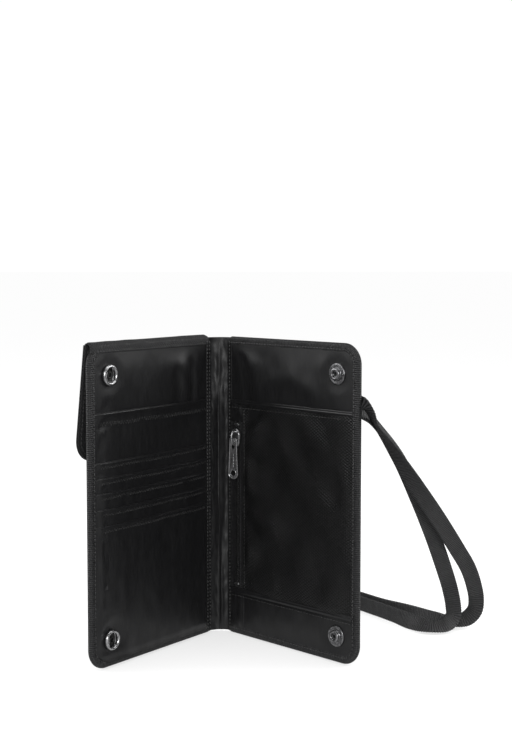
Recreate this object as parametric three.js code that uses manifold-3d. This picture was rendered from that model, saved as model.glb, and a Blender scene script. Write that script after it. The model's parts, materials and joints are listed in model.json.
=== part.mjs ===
// A passport holder wallet, standing open like a book. Millimetres, +Z up.
// The spine stands at the back, the two covers fan out towards -Y, and the
// inside of the wallet faces -Y. The front cover is on the -X side.
import * as THREE from 'three';
import { mergeVertices } from 'three/addons/utils/BufferGeometryUtils.js';
import Module from 'manifold-3d';

const wasm = await Module();
wasm.setup();

// Covers
const WIDTH = 120;
const HEIGHT = 200;
const CORNER_R = 13;
const SPINE_WIDTH = 16;
const SPINE_BULGE = 2.5;
const COVER_ANGLE = THREE.MathUtils.degToRad(39);

// Layers of a cover, measured inwards from the outer face of its shell
const SHELL = [0, 0.8];
const BOARD = [0.9, 1.8];
const LINING = [1.9, 2.3];
const CLEAR = 0.1;
const BOARD_INSET = 6;
const FOLD_CLEARANCE = 2.5;
const BINDING_WIDTH = 5;
const BINDING_WALL = 0.35;
const PANEL_START = 3.5;
const PANEL_END = WIDTH - BINDING_WIDTH - 0.2;
const PANEL_BASE = BINDING_WIDTH + 0.2;

// Pockets inside the front cover
const PANEL_THICKNESS = 0.3;
const PANEL_PITCH = 0.38;
const PANEL_SEAT = LINING[1] + 0.08;
const NOTE_POCKET_TOP = 158.4;
const HEM_HEIGHT = 7.9;
const CARD_TOPS = [128, 118.3, 109, 99, 88.7];
const CARD_DEPTH = 50;

// Press studs
const SNAP_U = WIDTH - 18.3;
const SNAP_HEIGHTS = { upper: 180.8, lower: 16.5 };
const RIVET_R = 1.8;
const RIVET_HOLE_R = 2.1;
const SNAP_CLEARANCE_R = 7.2;
const WELL_R = 4.8;
const STUD_HEAD_R = 3.95;

// Zip pocket inside the back cover
const ZIP_U = 10.2;
const ZIP_POCKET_START = 16;
const ZIP_POCKET_TOP = 158.5;
const ZIP_POCKET_BASE = 28.2;
const TOP_BAND = 3.5;
const BASE_BAND = 3.8;
const ZIP_HEAD_BASE = 143.6;
const ZIP_TOP = 141.9;
const ZIP_BASE = 34.5;
const TAPE_HALF = 4.6;
const TAPE = [2.4, 2.8];
const COIL = [2.9, 4.2];
const COIL_HALF = 1.3;
const SLIDER_Z = 133.2;
const SLIDER = [2.95, 5.3];
const BRIDGE = [129.3, 137.3];
const BRIDGE_TOP = 8.9;
const BRIDGE_BAR = 0.9;
const PULL_PIVOT = { z: 131.9, depth: 7 };
const PULL_LENGTH = 26.4;
const PULL_WINDOW = 6.3;
const PULL_THICKNESS = 1;
const PULL_TWIST = THREE.MathUtils.degToRad(18);

// Outside of the front cover
const OUTER_POCKET_TOP = 159;
const CLOSURE_HEIGHT = 20;
const FLAP_LENGTH = 74;
const FLAP_R = 15;
const FLAP_ANGLE = THREE.MathUtils.degToRad(6.5);
const FLAP_PIVOT = { z: HEIGHT + 0.9, depth: -1.75 };
const FLAP_ROLL_R = 1.1;

// Neck strap
const STRAP_WIDTH = 11;
const STRAP_THICKNESS = 1.2;
const STRAP_STEPS = 80;
const STRAP_Z = 162;

// Centre line of the strap and the way its face points, from the end sewn at
// the free edge, along the surface behind the wallet, to the end by the spine.
const STRAP_ROUTE = [
  [78.2, -84.6, 163, 0.78, 0.63, 0],
  [83.9, -91.1, 162.7, 0.78, 0.63, 0.02],
  [88.1, -90.8, 159.6, 0.8, 0.45, 0.4],
  [92.3, -86, 151.5, 0.82, 0.15, 0.53],
  [102.2, -76, 138.2, 0.72, 0.45, 0.5],
  [120.8, -57.8, 111.5, 0.35, 0.9, 0.2],
  [143.8, -35.4, 79.5, 0, 1, 0.05],
  [158.8, -20.3, 57.5, -0.05, 1, 0],
  [168.1, -10.9, 42.9, 0, 1, 0],
  [173.2, -5.5, 30.5, 0, 1, 0],
  [175.6, -3, 20, 0, 1, -0.1],
  [174.8, -2.5, 12, 0, 1, -0.3],
  [169.5, -2.5, 6.4, 0, 0.8, -0.6],
  [160, -1.5, 4.1, 0.05, 0.5, -0.86],
  [147, 3, 5, 0.4, 0.7, -0.5],
  [131.6, 20, 5.9, 0.75, 0.62, -0.1],
  [118, 38, 5.7, 0.82, 0.57, 0],
  [106, 58, 5.7, 0.84, 0.55, 0],
  [93, 78, 5.7, 0.75, 0.66, 0],
  [75, 92, 5.7, 0.45, 0.89, 0],
  [50, 100, 5.7, 0.1, 1, 0],
  [26, 97, 5.7, -0.4, 0.92, 0],
  [10, 84, 5.7, -0.85, 0.53, 0],
  [6, 67, 5.7, -1, -0.1, 0],
  [16, 53, 5.7, -0.62, -0.78, 0],
  [36, 48, 5.7, 0, -1, 0],
  [60, 54, 5.7, 0.2, -0.98, 0],
  [84, 60, 5.7, -0.05, -1, 0],
  [98, 54, 5.7, -0.65, -0.76, 0],
  [110, 35, 5.7, -0.85, -0.52, 0],
  [120.5, 14, 5.8, -0.88, -0.47, 0],
  [130.8, -5, 5.4, -0.75, -0.5, 0.4],
  [141.8, -14, 4.3, -0.25, -0.5, 0.83],
  [152.2, -13.5, 5.2, 0.1, -0.75, 0.65],
  [158.4, -9.5, 9.5, 0.05, -0.97, 0.2],
  [159.2, -5.5, 16.5, 0, -1, 0],
  [157.2, -3.7, 27.7, 0, -1, 0],
  [150.6, -10.5, 46, 0, -1, 0],
  [141.3, -20.5, 68.7, 0.1, -1, 0],
  [128.4, -35, 96, 0.25, -0.97, 0.05],
  [113.4, -53, 123.5, 0.5, -0.85, 0.2],
  [99.8, -68.5, 143, 0.78, -0.5, 0.4],
  [90.4, -78.5, 153.5, 0.82, -0.4, 0.42],
  [82.2, -82.5, 159.5, 0.5, -0.85, 0.2],
  [72.5, -75.5, 162, -0.5, -0.86, 0],
  [58, -60.3, 162, -0.78, -0.63, 0],
  [37, -34.4, 162, -0.78, -0.63, 0],
  [16.6, -8.6, 162, -0.78, -0.63, 0],
];

const FABRIC = { color: 0x17181a, roughness: 0.85, metalness: 0 };
const SATIN = { color: 0x1b1b1d, roughness: 0.42, metalness: 0 };
const RIBBED = { color: 0x141415, roughness: 0.7, metalness: 0 };
const BOARD_STOCK = { color: 0x4a4640, roughness: 0.9, metalness: 0 };
const GUNMETAL = { color: 0x55565a, roughness: 0.3, metalness: 1 };
const NICKEL = { color: 0xc2c2c4, roughness: 0.22, metalness: 1 };
const PLASTIC = { color: 0x101011, roughness: 0.5, metalness: 0 };

function mesh(name, geometry, look) {
  const piece = new THREE.Mesh(geometry, new THREE.MeshStandardMaterial(look));
  piece.name = name;
  return piece;
}

// Turns a closed three.js geometry into a solid for cutting and joining.
function solid(geometry) {
  const bare = geometry.clone();
  bare.deleteAttribute('normal');
  bare.deleteAttribute('uv');
  const welded = mergeVertices(bare, 1e-4);
  return new wasm.Manifold(new wasm.Mesh({
    numProp: 3,
    vertProperties: new Float32Array(welded.attributes.position.array),
    triVerts: new Uint32Array(welded.index.array),
  }));
}

function geometryOf(body) {
  const result = body.getMesh();
  const geometry = new THREE.BufferGeometry();
  geometry.setAttribute('position', new THREE.BufferAttribute(result.vertProperties, 3));
  geometry.setIndex(new THREE.BufferAttribute(result.triVerts, 1));
  return geometry;
}

// Rectangle that can have its bottom right and top right corners rounded.
function panel(left, base, right, top, baseR = 0, topR = 0) {
  const shape = new THREE.Shape();
  shape.moveTo(left, base);
  shape.lineTo(right - baseR, base);
  if (baseR > 0) shape.absarc(right - baseR, base + baseR, baseR, -Math.PI / 2, 0);
  shape.lineTo(right, top - topR);
  if (topR > 0) shape.absarc(right - topR, top - topR, topR, 0, Math.PI / 2);
  shape.lineTo(left, top);
  shape.closePath();
  return shape;
}

function coverOutline(start, inset) {
  const radius = CORNER_R - inset;
  return panel(start, inset, WIDTH - inset, HEIGHT - inset, radius, radius);
}

// Sheet that fills the cover inside its binding, from the base up to a height.
function fullPanel(top) {
  return panel(PANEL_START, PANEL_BASE, PANEL_END, top, CORNER_R - BINDING_WIDTH);
}

function addHole(shape, u, z, radius) {
  const hole = new THREE.Path();
  hole.absarc(u, z, radius, 0, 2 * Math.PI, true);
  shape.holes.push(hole);
}

function addRivetHoles(shape, radius = RIVET_HOLE_R) {
  for (const z of Object.values(SNAP_HEIGHTS)) addHole(shape, SNAP_U, z, radius);
}

// Extrudes an outline drawn in the cover's plane between two depths.
// inward is +1 where local +Y points into the wallet, -1 where it points out.
function slab(shape, [near, far], inward, curveSegments = 5) {
  const options = { depth: far - near, bevelEnabled: false, curveSegments };
  const geometry = new THREE.ExtrudeGeometry(shape, options);
  geometry.rotateX(Math.PI / 2);
  geometry.translate(0, inward > 0 ? far : -near, 0);
  return geometry;
}

// Turned piece whose axis is the depth direction, standing on a given depth.
function turned(profile, u, z, depth, inward, segments = 16) {
  const points = profile.map(([r, h]) => new THREE.Vector2(r, h));
  const geometry = new THREE.LatheGeometry(points, segments);
  if (inward < 0) geometry.rotateX(Math.PI);
  geometry.translate(u, inward * depth, z);
  return geometry;
}

// The layers that both covers share.
function coverLayers(name, inward) {
  const shell = coverOutline(1, BINDING_WALL + CLEAR);
  addRivetHoles(shell);
  const board = coverOutline(FOLD_CLEARANCE, BOARD_INSET);
  addRivetHoles(board);
  const lining = coverOutline(FOLD_CLEARANCE, BINDING_WALL + CLEAR);
  addRivetHoles(lining);
  return [
    mesh(`${name}_shell`, slab(shell, SHELL, inward), FABRIC),
    mesh(`${name}_board`, slab(board, BOARD, inward), BOARD_STOCK),
    mesh(`${name}_lining`, slab(lining, LINING, inward), SATIN),
    mesh(`${name}_binding`, binding(inward), RIBBED),
  ];
}

// Folded strip around the three free edges, with a slot that holds the layers.
function binding(inward) {
  const near = SHELL[0] - CLEAR;
  const far = LINING[1] + CLEAR;
  const whole = slab(coverOutline(3, 0), [near - BINDING_WALL, far + BINDING_WALL], inward);
  const slot = slab(coverOutline(-10, BINDING_WALL), [near, far], inward);
  const window = slab(coverOutline(-10, BINDING_WIDTH), [near - 5, far + 5], inward);
  return geometryOf(solid(whole).subtract(solid(slot)).subtract(solid(window)));
}

function snapCap(name, z, inward) {
  const profile = [
    [0, -1.4], [3.6, -1.3], [5.6, -0.8], [6.25, -0.25], [6.1, 0],
    [RIVET_R, 0], [RIVET_R, LINING[1] + 0.05], [0, LINING[1] + 0.05],
  ];
  return mesh(name, turned(profile, SNAP_U, z, -CLEAR, inward), GUNMETAL);
}

function socket(name, z, inward) {
  const profile = [
    [0, 0], [5.5, 0], [6.2, 0.6], [6.2, 1.7], [5.8, 2.25],
    [5.3, 2.4], [WELL_R + 0.1, 2.1], [WELL_R, 0.4], [0, 0.4],
  ];
  return mesh(name, turned(profile, SNAP_U, z, PANEL_SEAT, inward), NICKEL);
}

function socketSpring(name, z, inward) {
  const ring = new THREE.TorusGeometry(WELL_R - 0.35, 0.2, 6, 16);
  ring.rotateX(Math.PI / 2);
  ring.translate(SNAP_U, inward * (PANEL_SEAT + 1.3), z);
  return mesh(name, ring, NICKEL);
}

function stud(name, z, inward) {
  const profile = [
    [0, 0], [6.3, 0], [6.75, 0.4], [6.5, 0.9], [5, 1.1], [3.7, 1.15], [3.5, 1.6],
    [STUD_HEAD_R, 2.2], [STUD_HEAD_R - 0.1, 2.7], [3.3, 3], [2.9, 2.8], [2.7, 1.2], [0, 1.2],
  ];
  return mesh(name, turned(profile, SNAP_U, z, PANEL_SEAT, inward), GUNMETAL);
}

function notePocket(inward) {
  const sheet = fullPanel(NOTE_POCKET_TOP);
  addHole(sheet, SNAP_U, SNAP_HEIGHTS.lower, SNAP_CLEARANCE_R);
  const hem = panel(PANEL_START, NOTE_POCKET_TOP - HEM_HEIGHT, PANEL_END, NOTE_POCKET_TOP);
  const hemSeat = PANEL_SEAT + PANEL_PITCH;
  return [
    mesh('note_pocket', slab(sheet, [PANEL_SEAT, PANEL_SEAT + PANEL_THICKNESS], inward), SATIN),
    mesh('note_pocket_hem', slab(hem, [hemSeat, hemSeat + 0.25], inward), SATIN),
  ];
}

// Stepped card slots: each lies over the one above it.
function cardPockets(inward) {
  return CARD_TOPS.map((top, index) => {
    const last = index === CARD_TOPS.length - 1;
    const sheet = last ? fullPanel(top) : panel(PANEL_START, top - CARD_DEPTH, PANEL_END, top);
    if (last) addHole(sheet, SNAP_U, SNAP_HEIGHTS.lower, SNAP_CLEARANCE_R);
    const seat = PANEL_SEAT + PANEL_PITCH * (index + 1);
    return mesh(`card_pocket_${index + 1}`, slab(sheet, [seat, seat + PANEL_THICKNESS], inward), SATIN);
  });
}

function outerPocket(inward) {
  const sheet = fullPanel(OUTER_POCKET_TOP);
  addHole(sheet, SNAP_U, SNAP_HEIGHTS.lower, SNAP_CLEARANCE_R);
  const loop = panel(6, OUTER_POCKET_TOP - CLOSURE_HEIGHT, 114, OUTER_POCKET_TOP);
  return [
    mesh('outer_pocket', slab(sheet, [-0.7, -CLEAR], inward), FABRIC),
    mesh('closure_loop_strip', slab(loop, [-1.5, -0.8], inward), RIBBED),
  ];
}

// The flap hangs from a rolled fold along the top edge of the front cover.
function flap(inward) {
  const group = new THREE.Group();
  group.position.set(0, inward * FLAP_PIVOT.depth, FLAP_PIVOT.z);
  group.rotation.x = -inward * FLAP_ANGLE;
  const roll = new THREE.CylinderGeometry(FLAP_ROLL_R, FLAP_ROLL_R, WIDTH - 4, 12);
  roll.rotateZ(Math.PI / 2);
  roll.translate(WIDTH / 2, 0, 0);
  const outline = (inset) => flapOutline(inset, -FLAP_ROLL_R - 0.15);
  const hook = panel(8, -62, 112, -62 + CLOSURE_HEIGHT);
  group.add(
    mesh('flap_fold', roll, FABRIC),
    mesh('flap_shell', slab(outline(0), [-1, -0.05], inward), FABRIC),
    mesh('flap_lining', slab(outline(0.8), [0.05, 0.6], inward), FABRIC),
    mesh('closure_hook_strip', slab(hook, [0.7, 1.5], inward), RIBBED),
  );
  return group;
}

function flapOutline(inset, top) {
  const left = 1 + inset;
  const right = WIDTH - 1 - inset;
  const base = -FLAP_LENGTH + inset;
  const r = FLAP_R - inset;
  const shape = new THREE.Shape();
  shape.moveTo(left, top);
  shape.lineTo(left, base + r);
  shape.absarc(left + r, base + r, r, Math.PI, 1.5 * Math.PI);
  shape.absarc(right - r, base + r, r, 1.5 * Math.PI, 2 * Math.PI);
  shape.lineTo(right, top);
  shape.closePath();
  return shape;
}

function zipPocket(inward) {
  const sheet = panel(ZIP_POCKET_START, ZIP_POCKET_BASE, PANEL_END, ZIP_POCKET_TOP);
  const head = panel(PANEL_START, ZIP_HEAD_BASE, ZIP_POCKET_START - 0.2, ZIP_POCKET_TOP);
  const top = panel(PANEL_START, ZIP_POCKET_TOP - TOP_BAND, PANEL_END, ZIP_POCKET_TOP);
  const base = panel(PANEL_START, ZIP_POCKET_BASE, PANEL_END, ZIP_POCKET_BASE + BASE_BAND);
  return [
    mesh('zip_head_panel', slab(head, [2.4, 3], inward), SATIN),
    mesh('zip_pocket', slab(sheet, [2.4, 3], inward), FABRIC),
    mesh('zip_pocket_top_band', slab(top, [3.1, 3.5], inward), SATIN),
    mesh('zip_pocket_base_band', slab(base, [3.1, 3.4], inward), SATIN),
  ];
}

function zip(inward) {
  const gap = 0.1;
  const tape = (left, right) => slab(panel(left, ZIP_BASE - 2, right, ZIP_HEAD_BASE - 0.3), TAPE, inward);
  const coil = panel(ZIP_U - COIL_HALF, ZIP_BASE + 2.3, ZIP_U + COIL_HALF, ZIP_TOP - 2.3);
  const stop = (z) => panel(ZIP_U - 2.4, z - 1, ZIP_U + 2.4, z + 1);
  return [
    mesh('zip_tape_spine_side', tape(ZIP_U - TAPE_HALF, ZIP_U - gap), RIBBED),
    mesh('zip_tape_pocket_side', tape(ZIP_U + gap, ZIP_U + TAPE_HALF), RIBBED),
    mesh('zip_coil', slab(coil, COIL, inward), PLASTIC),
    mesh('zip_top_stop', slab(stop(ZIP_TOP), [2.9, 4.4], inward), GUNMETAL),
    mesh('zip_bottom_stop', slab(stop(ZIP_BASE), [2.9, 4.4], inward), GUNMETAL),
  ];
}

// Shield-shaped slider: a channel over the coil, with a bridge for the pull.
function zipSlider(inward) {
  const outline = new THREE.Shape();
  outline.moveTo(ZIP_U - 3, SLIDER_Z - 5.6);
  outline.lineTo(ZIP_U + 3, SLIDER_Z - 5.6);
  outline.lineTo(ZIP_U + 4.3, SLIDER_Z + 1.5);
  outline.lineTo(ZIP_U + 3.6, SLIDER_Z + 5.7);
  outline.lineTo(ZIP_U - 3.6, SLIDER_Z + 5.7);
  outline.lineTo(ZIP_U - 4.3, SLIDER_Z + 1.5);
  outline.closePath();
  const channelHalf = COIL_HALF + 0.3;
  const channel = panel(ZIP_U - channelHalf, SLIDER_Z - 9, ZIP_U + channelHalf, SLIDER_Z + 9);
  const body = solid(slab(outline, SLIDER, inward))
    .subtract(solid(slab(channel, [SLIDER[0] - 1, COIL[1] + 0.2], inward)));
  const arch = panel(ZIP_U - BRIDGE_BAR, BRIDGE[0], ZIP_U + BRIDGE_BAR, BRIDGE[1]);
  const bridge = solid(slab(arch, [SLIDER[1] - 0.3, BRIDGE_TOP], inward));
  const under = panel(ZIP_U - 3, BRIDGE[0] + 1.1, ZIP_U + 3, BRIDGE[1] - 1.1);
  const eye = solid(slab(under, [SLIDER[1], BRIDGE_TOP - BRIDGE_BAR], inward));
  return mesh('zip_slider', geometryOf(body.add(bridge.subtract(eye))), GUNMETAL);
}

// Pull tab: a bar through the bridge, a window around it and a wider round end.
// It hangs a little twisted towards the open side of the wallet.
function zipPull(inward) {
  const top = 0.8;
  const base = -PULL_LENGTH;
  const endR = 3.7;
  const outline = new THREE.Shape();
  outline.moveTo(-2.8, top);
  outline.lineTo(-endR, base + endR);
  outline.absarc(0, base + endR, endR, Math.PI, 2 * Math.PI);
  outline.lineTo(2.8, top);
  outline.closePath();
  const window = new THREE.Path();
  window.moveTo(-1.5, top - 1.6);
  window.lineTo(1.5, top - 1.6);
  window.lineTo(1.5, -PULL_WINDOW);
  window.lineTo(-1.5, -PULL_WINDOW);
  window.closePath();
  outline.holes.push(window);
  addHole(outline, 0, base + endR + 0.3, 1.9);
  const half = PULL_THICKNESS / 2;
  const pull = mesh('zip_pull', slab(outline, [-half, half], inward), GUNMETAL);
  pull.position.set(ZIP_U, inward * PULL_PIVOT.depth, PULL_PIVOT.z);
  pull.rotation.z = inward * PULL_TWIST;
  return pull;
}

function strapAnchors(inward) {
  const patch = (u) => panel(u, STRAP_Z - 8, u + 14, STRAP_Z + 8);
  return [
    mesh('strap_anchor_edge', slab(patch(100), [-0.5, -CLEAR], inward), RIBBED),
    mesh('strap_anchor_spine', slab(patch(6), [-0.5, -CLEAR], inward), RIBBED),
  ];
}

// Curved strip between the two seams, bulging outwards between the hinge lines.
function spineStrip(name, [near, far], look) {
  const half = SPINE_WIDTH / 2;
  const radius = (half * half + SPINE_BULGE * SPINE_BULGE) / (2 * SPINE_BULGE);
  const centreY = SPINE_BULGE - radius;
  const reach = Math.asin(half / radius) - 0.08 - 0.02 * far;
  const shape = new THREE.Shape();
  shape.absarc(0, centreY, radius - near, Math.PI / 2 - reach, Math.PI / 2 + reach);
  shape.absarc(0, centreY, radius - far, Math.PI / 2 + reach, Math.PI / 2 - reach, true);
  shape.closePath();
  const edge = BINDING_WALL + CLEAR;
  const options = { depth: HEIGHT - 2 * edge, bevelEnabled: false, curveSegments: 8 };
  const geometry = new THREE.ExtrudeGeometry(shape, options);
  geometry.translate(0, 0, edge);
  return mesh(name, geometry, look);
}

// Route whose band faces the directions chosen for it, instead of twisting freely.
class StrapCurve extends THREE.CatmullRomCurve3 {
  constructor(route) {
    super(route.map(([x, y, z]) => new THREE.Vector3(x, y, z)), false, 'centripetal');
    this.facing = new THREE.CatmullRomCurve3(route.map(([, , , x, y, z]) => new THREE.Vector3(x, y, z)));
  }

  getSpacedPoints(divisions) {
    return this.getPoints(divisions);
  }

  computeFrenetFrames(segments) {
    const frames = { tangents: [], normals: [], binormals: [] };
    for (let i = 0; i <= segments; i += 1) {
      const tangent = this.getTangent(i / segments);
      const across = tangent.clone().cross(this.facing.getPoint(i / segments)).normalize();
      frames.tangents.push(tangent);
      frames.normals.push(across);
      frames.binormals.push(tangent.clone().cross(across));
    }
    return frames;
  }
}

function neckStrap() {
  const w = STRAP_WIDTH / 2;
  const t = STRAP_THICKNESS / 2;
  const section = new THREE.Shape();
  section.moveTo(-w, -t / 2);
  section.lineTo(-w + t / 2, -t);
  section.lineTo(w - t / 2, -t);
  section.lineTo(w, -t / 2);
  section.lineTo(w, t / 2);
  section.lineTo(w - t / 2, t);
  section.lineTo(-w + t / 2, t);
  section.lineTo(-w, t / 2);
  section.closePath();
  const options = { steps: STRAP_STEPS, bevelEnabled: false, extrudePath: new StrapCurve(STRAP_ROUTE) };
  return mesh('neck_strap', new THREE.ExtrudeGeometry(section, options), RIBBED);
}

function coverGroup(side) {
  const group = new THREE.Group();
  group.position.x = side * SPINE_WIDTH / 2;
  group.rotation.z = -Math.PI / 2 + side * COVER_ANGLE;
  return group;
}

const front = coverGroup(-1);
front.add(...coverLayers('front_cover', 1), ...notePocket(1), ...cardPockets(1), ...outerPocket(1), flap(1));
const back = coverGroup(1);
back.add(...coverLayers('back_cover', -1), ...zipPocket(-1), ...zip(-1), zipSlider(-1), zipPull(-1));
back.add(...strapAnchors(-1));
for (const [place, z] of Object.entries(SNAP_HEIGHTS)) {
  front.add(socket(`socket_${place}`, z, 1), socketSpring(`socket_spring_${place}`, z, 1));
  front.add(snapCap(`socket_cap_${place}`, z, 1));
  back.add(stud(`stud_${place}`, z, -1), snapCap(`stud_cap_${place}`, z, -1));
}

const wallet = new THREE.Group();
wallet.add(front, back);
wallet.add(spineStrip('spine_shell', SHELL, FABRIC), spineStrip('spine_lining', [0.95, 1.35], SATIN));

// The origin is under the middle of the wallet's box, strap left aside.
const middle = new THREE.Box3().setFromObject(wallet).getCenter(new THREE.Vector3());
wallet.add(neckStrap());
wallet.position.set(-middle.x, -middle.y, 0);

export default wallet;
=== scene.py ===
import json
import math
from dataclasses import dataclass

import bmesh
import bpy
import numpy as np
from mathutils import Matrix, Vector


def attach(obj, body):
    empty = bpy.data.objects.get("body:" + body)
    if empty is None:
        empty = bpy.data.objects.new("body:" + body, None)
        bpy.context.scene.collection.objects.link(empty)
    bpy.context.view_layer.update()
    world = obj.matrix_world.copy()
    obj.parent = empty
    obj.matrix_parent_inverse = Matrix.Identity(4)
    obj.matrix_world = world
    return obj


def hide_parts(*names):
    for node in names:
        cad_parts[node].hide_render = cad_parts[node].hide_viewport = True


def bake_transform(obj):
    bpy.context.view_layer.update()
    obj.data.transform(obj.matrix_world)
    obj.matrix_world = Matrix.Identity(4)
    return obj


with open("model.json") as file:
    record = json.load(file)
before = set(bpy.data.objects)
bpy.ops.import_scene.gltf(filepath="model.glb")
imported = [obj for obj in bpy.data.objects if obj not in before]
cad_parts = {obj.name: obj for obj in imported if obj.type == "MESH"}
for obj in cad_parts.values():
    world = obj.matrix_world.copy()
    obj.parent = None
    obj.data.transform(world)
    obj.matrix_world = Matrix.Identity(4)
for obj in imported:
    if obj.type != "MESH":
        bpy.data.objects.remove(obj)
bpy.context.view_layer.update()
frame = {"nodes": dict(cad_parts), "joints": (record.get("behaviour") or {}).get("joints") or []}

MM = 0.001
JOINTS = {joint["name"]: joint for joint in frame["joints"]}

# Driving sizes of the wallet, in mm. Depth is measured inwards from a cover's outer face.
WIDTH = 120
HEIGHT = 200
CORNER_R = 13
COVER_ANGLE = math.radians(39)
SPINE_HALF = 8
CLOSED_LEAN = math.radians(1.9)
SPINE_BULGE = 2.5
BINDING_WIDTH = 5.2
BINDING_FACE = 3.0
BINDING_OUTSIDE = -0.5
BINDING_STITCH = 3.7
EDGE_STEP = 1.1
SEAM_U = 3.4
LINING_FACE = 2.3
PANEL_END = 115.6
POCKET_BASE = 3.5
SNAP_U = 101.7
SNAP_HEIGHTS = {"upper": 180.8, "lower": 16.5}
SNAP_SEAT = 2.38
SNAP_REACH = 6.6
NOTE_TOP = 158.4
CARD_TOPS = (128, 118.3, 109, 99, 88.7)
CARD_DEPTH = 50
ZIP_U = 10.2
ZIP_TAPE_HALF = 4.6
ZIP_POCKET_START = 15.6
ZIP_POCKET_TOP = 158.5
ZIP_POCKET_BASE = 28.2
ZIP_TOP = 141.9
ZIP_BASE = 34.5
ZIP_HEAD_BASE = 143.6
SLIDER_Z = 133.2
PULL_PIVOT_Z = 131.9
PULL_PIVOT_DEPTH = 7
PULL_TWIST = math.radians(18)
PULL_LENGTH = 26.4
PULL_HOLE = (0, -22.4)
OUTER_POCKET_TOP = 159
CLOSURE_HEIGHT = 20
FLAP_ANGLE = math.radians(6.5)
FLAP_PIVOT_Z = 200.9
FLAP_PIVOT_DEPTH = -1.75
FLAP_LENGTH = 74
FLAP_R = 15
STRAP_Z = 162
STRAP_WIDTH = 11

# Camera of the main view, in mm and radians.
CAMERA_PLACE = (-31.34, -908.65, 250.97)
CAMERA_YAW = 0.063
CAMERA_PITCH = 0.077
LENS = 69.46

# Studio: what the camera, the floor and reflections see of the white room. Places are in metres.
WHITE = 1.02
EVEN_LIGHT = 1.0
REFLECTED_ROOM = 0.045
REFLECTED_FLOOR_NEAR = 0.46
REFLECTED_FLOOR_FAR = 0.09
PAPER = 0.4
PAPER_GLOW = 0.58
FLOOR_DROP = -0.0006
FLOOR_FADE = (0.2, 1.1)
FLOOR_REACH = 30

# Centre line of the neck strap, in mm from the spine's middle, and the way its face points:
# from the end sewn at the free edge, along the floor behind the wallet, to the end by the spine.
STRAP_ROUTE = [
    [78.2, -84.6, 163, 0.78, 0.63, 0],
    [83.9, -91.1, 162.7, 0.78, 0.63, 0.02],
    [88.1, -90.8, 159.6, 0.8, 0.45, 0.4],
    [92.3, -86, 151.5, 0.82, 0.15, 0.53],
    [102.2, -76, 138.2, 0.72, 0.45, 0.5],
    [120.8, -57.8, 111.5, 0.35, 0.9, 0.2],
    [143.8, -35.4, 79.5, 0, 1, 0.05],
    [158.8, -20.3, 57.5, -0.05, 1, 0],
    [168.1, -10.9, 42.9, 0, 1, 0],
    [173.2, -5.5, 30.5, 0, 1, 0],
    [175.6, -3, 20, 0, 1, -0.1],
    [174.8, -2.5, 12, 0, 1, -0.3],
    [169.5, -2.5, 6.4, 0, 0.8, -0.6],
    [160, -1.5, 4.1, 0.05, 0.5, -0.86],
    [147, 3, 5, 0.4, 0.7, -0.5],
    [131.6, 20, 5.9, 0.75, 0.62, -0.1],
    [118, 38, 5.7, 0.82, 0.57, 0],
    [106, 58, 5.7, 0.84, 0.55, 0],
    [93, 78, 5.7, 0.75, 0.66, 0],
    [75, 92, 5.7, 0.45, 0.89, 0],
    [50, 100, 5.7, 0.1, 1, 0],
    [26, 97, 5.7, -0.4, 0.92, 0],
    [10, 84, 5.7, -0.85, 0.53, 0],
    [6, 67, 5.7, -1, -0.1, 0],
    [16, 53, 5.7, -0.62, -0.78, 0],
    [36, 48, 5.7, 0, -1, 0],
    [60, 54, 5.7, 0.2, -0.98, 0],
    [84, 60, 5.7, -0.05, -1, 0],
    [98, 54, 5.7, -0.65, -0.76, 0],
    [110, 35, 5.7, -0.85, -0.52, 0],
    [120.5, 14, 5.8, -0.88, -0.47, 0],
    [130.8, -5, 5.4, -0.75, -0.5, 0.4],
    [141.8, -14, 4.3, -0.25, -0.5, 0.83],
    [152.2, -13.5, 5.2, 0.1, -0.75, 0.65],
    [158.4, -9.5, 9.5, 0.05, -0.97, 0.2],
    [159.2, -5.5, 16.5, 0, -1, 0],
    [157.2, -3.7, 27.7, 0, -1, 0],
    [150.6, -10.5, 46, 0, -1, 0],
    [141.3, -20.5, 68.7, 0.1, -1, 0],
    [128.4, -35, 96, 0.25, -0.97, 0.05],
    [113.4, -53, 123.5, 0.5, -0.85, 0.2],
    [99.8, -68.5, 143, 0.78, -0.5, 0.4],
    [90.4, -78.5, 153.5, 0.82, -0.4, 0.42],
    [82.2, -82.5, 159.5, 0.5, -0.85, 0.2],
    [72.5, -75.5, 162, -0.5, -0.86, 0],
    [58, -60.3, 162, -0.78, -0.63, 0],
    [37, -34.4, 162, -0.78, -0.63, 0],
    [16.6, -8.6, 162, -0.78, -0.63, 0],
]


class Cover:
    """One cover: places points given by distance from the fold, depth and height, in mm."""

    def __init__(self, body, joint, side):
        self.body = body
        self.side = side
        self.hinge = np.array(JOINTS[joint]["pos_m"]) / MM

    def at(self, u, depth, z):
        u, depth, z = np.broadcast_arrays(*(np.asarray(a, float) for a in (u, depth, z)))
        sine = math.sin(COVER_ANGLE)
        cosine = math.cos(COVER_ANGLE)
        x = self.hinge[0] + self.side * (u * sine - depth * cosine)
        y = self.hinge[1] - u * cosine - depth * sine
        return np.stack([x, y, z], -1) * MM

    def inward(self):
        """Unit vector from the outer face to the inside of the wallet."""
        return np.array([-self.side * math.cos(COVER_ANGLE), -math.sin(COVER_ANGLE), 0])

    def sew(self, bag, u, depth, z, *sizes, **more):
        """Adds a row of stitches inside, or on the outside where the depth is negative."""
        stitches(bag, self.at(u, depth, z), math.copysign(1, depth) * self.inward(), *sizes, **more)


BACK = Cover("back_cover", "spine_fold", 1)
FRONT = Cover("front_cover", "front_fold", -1)
SPINE_X = (BACK.hinge[0] + FRONT.hinge[0]) / 2
SPINE_Y = BACK.hinge[1]


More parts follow.
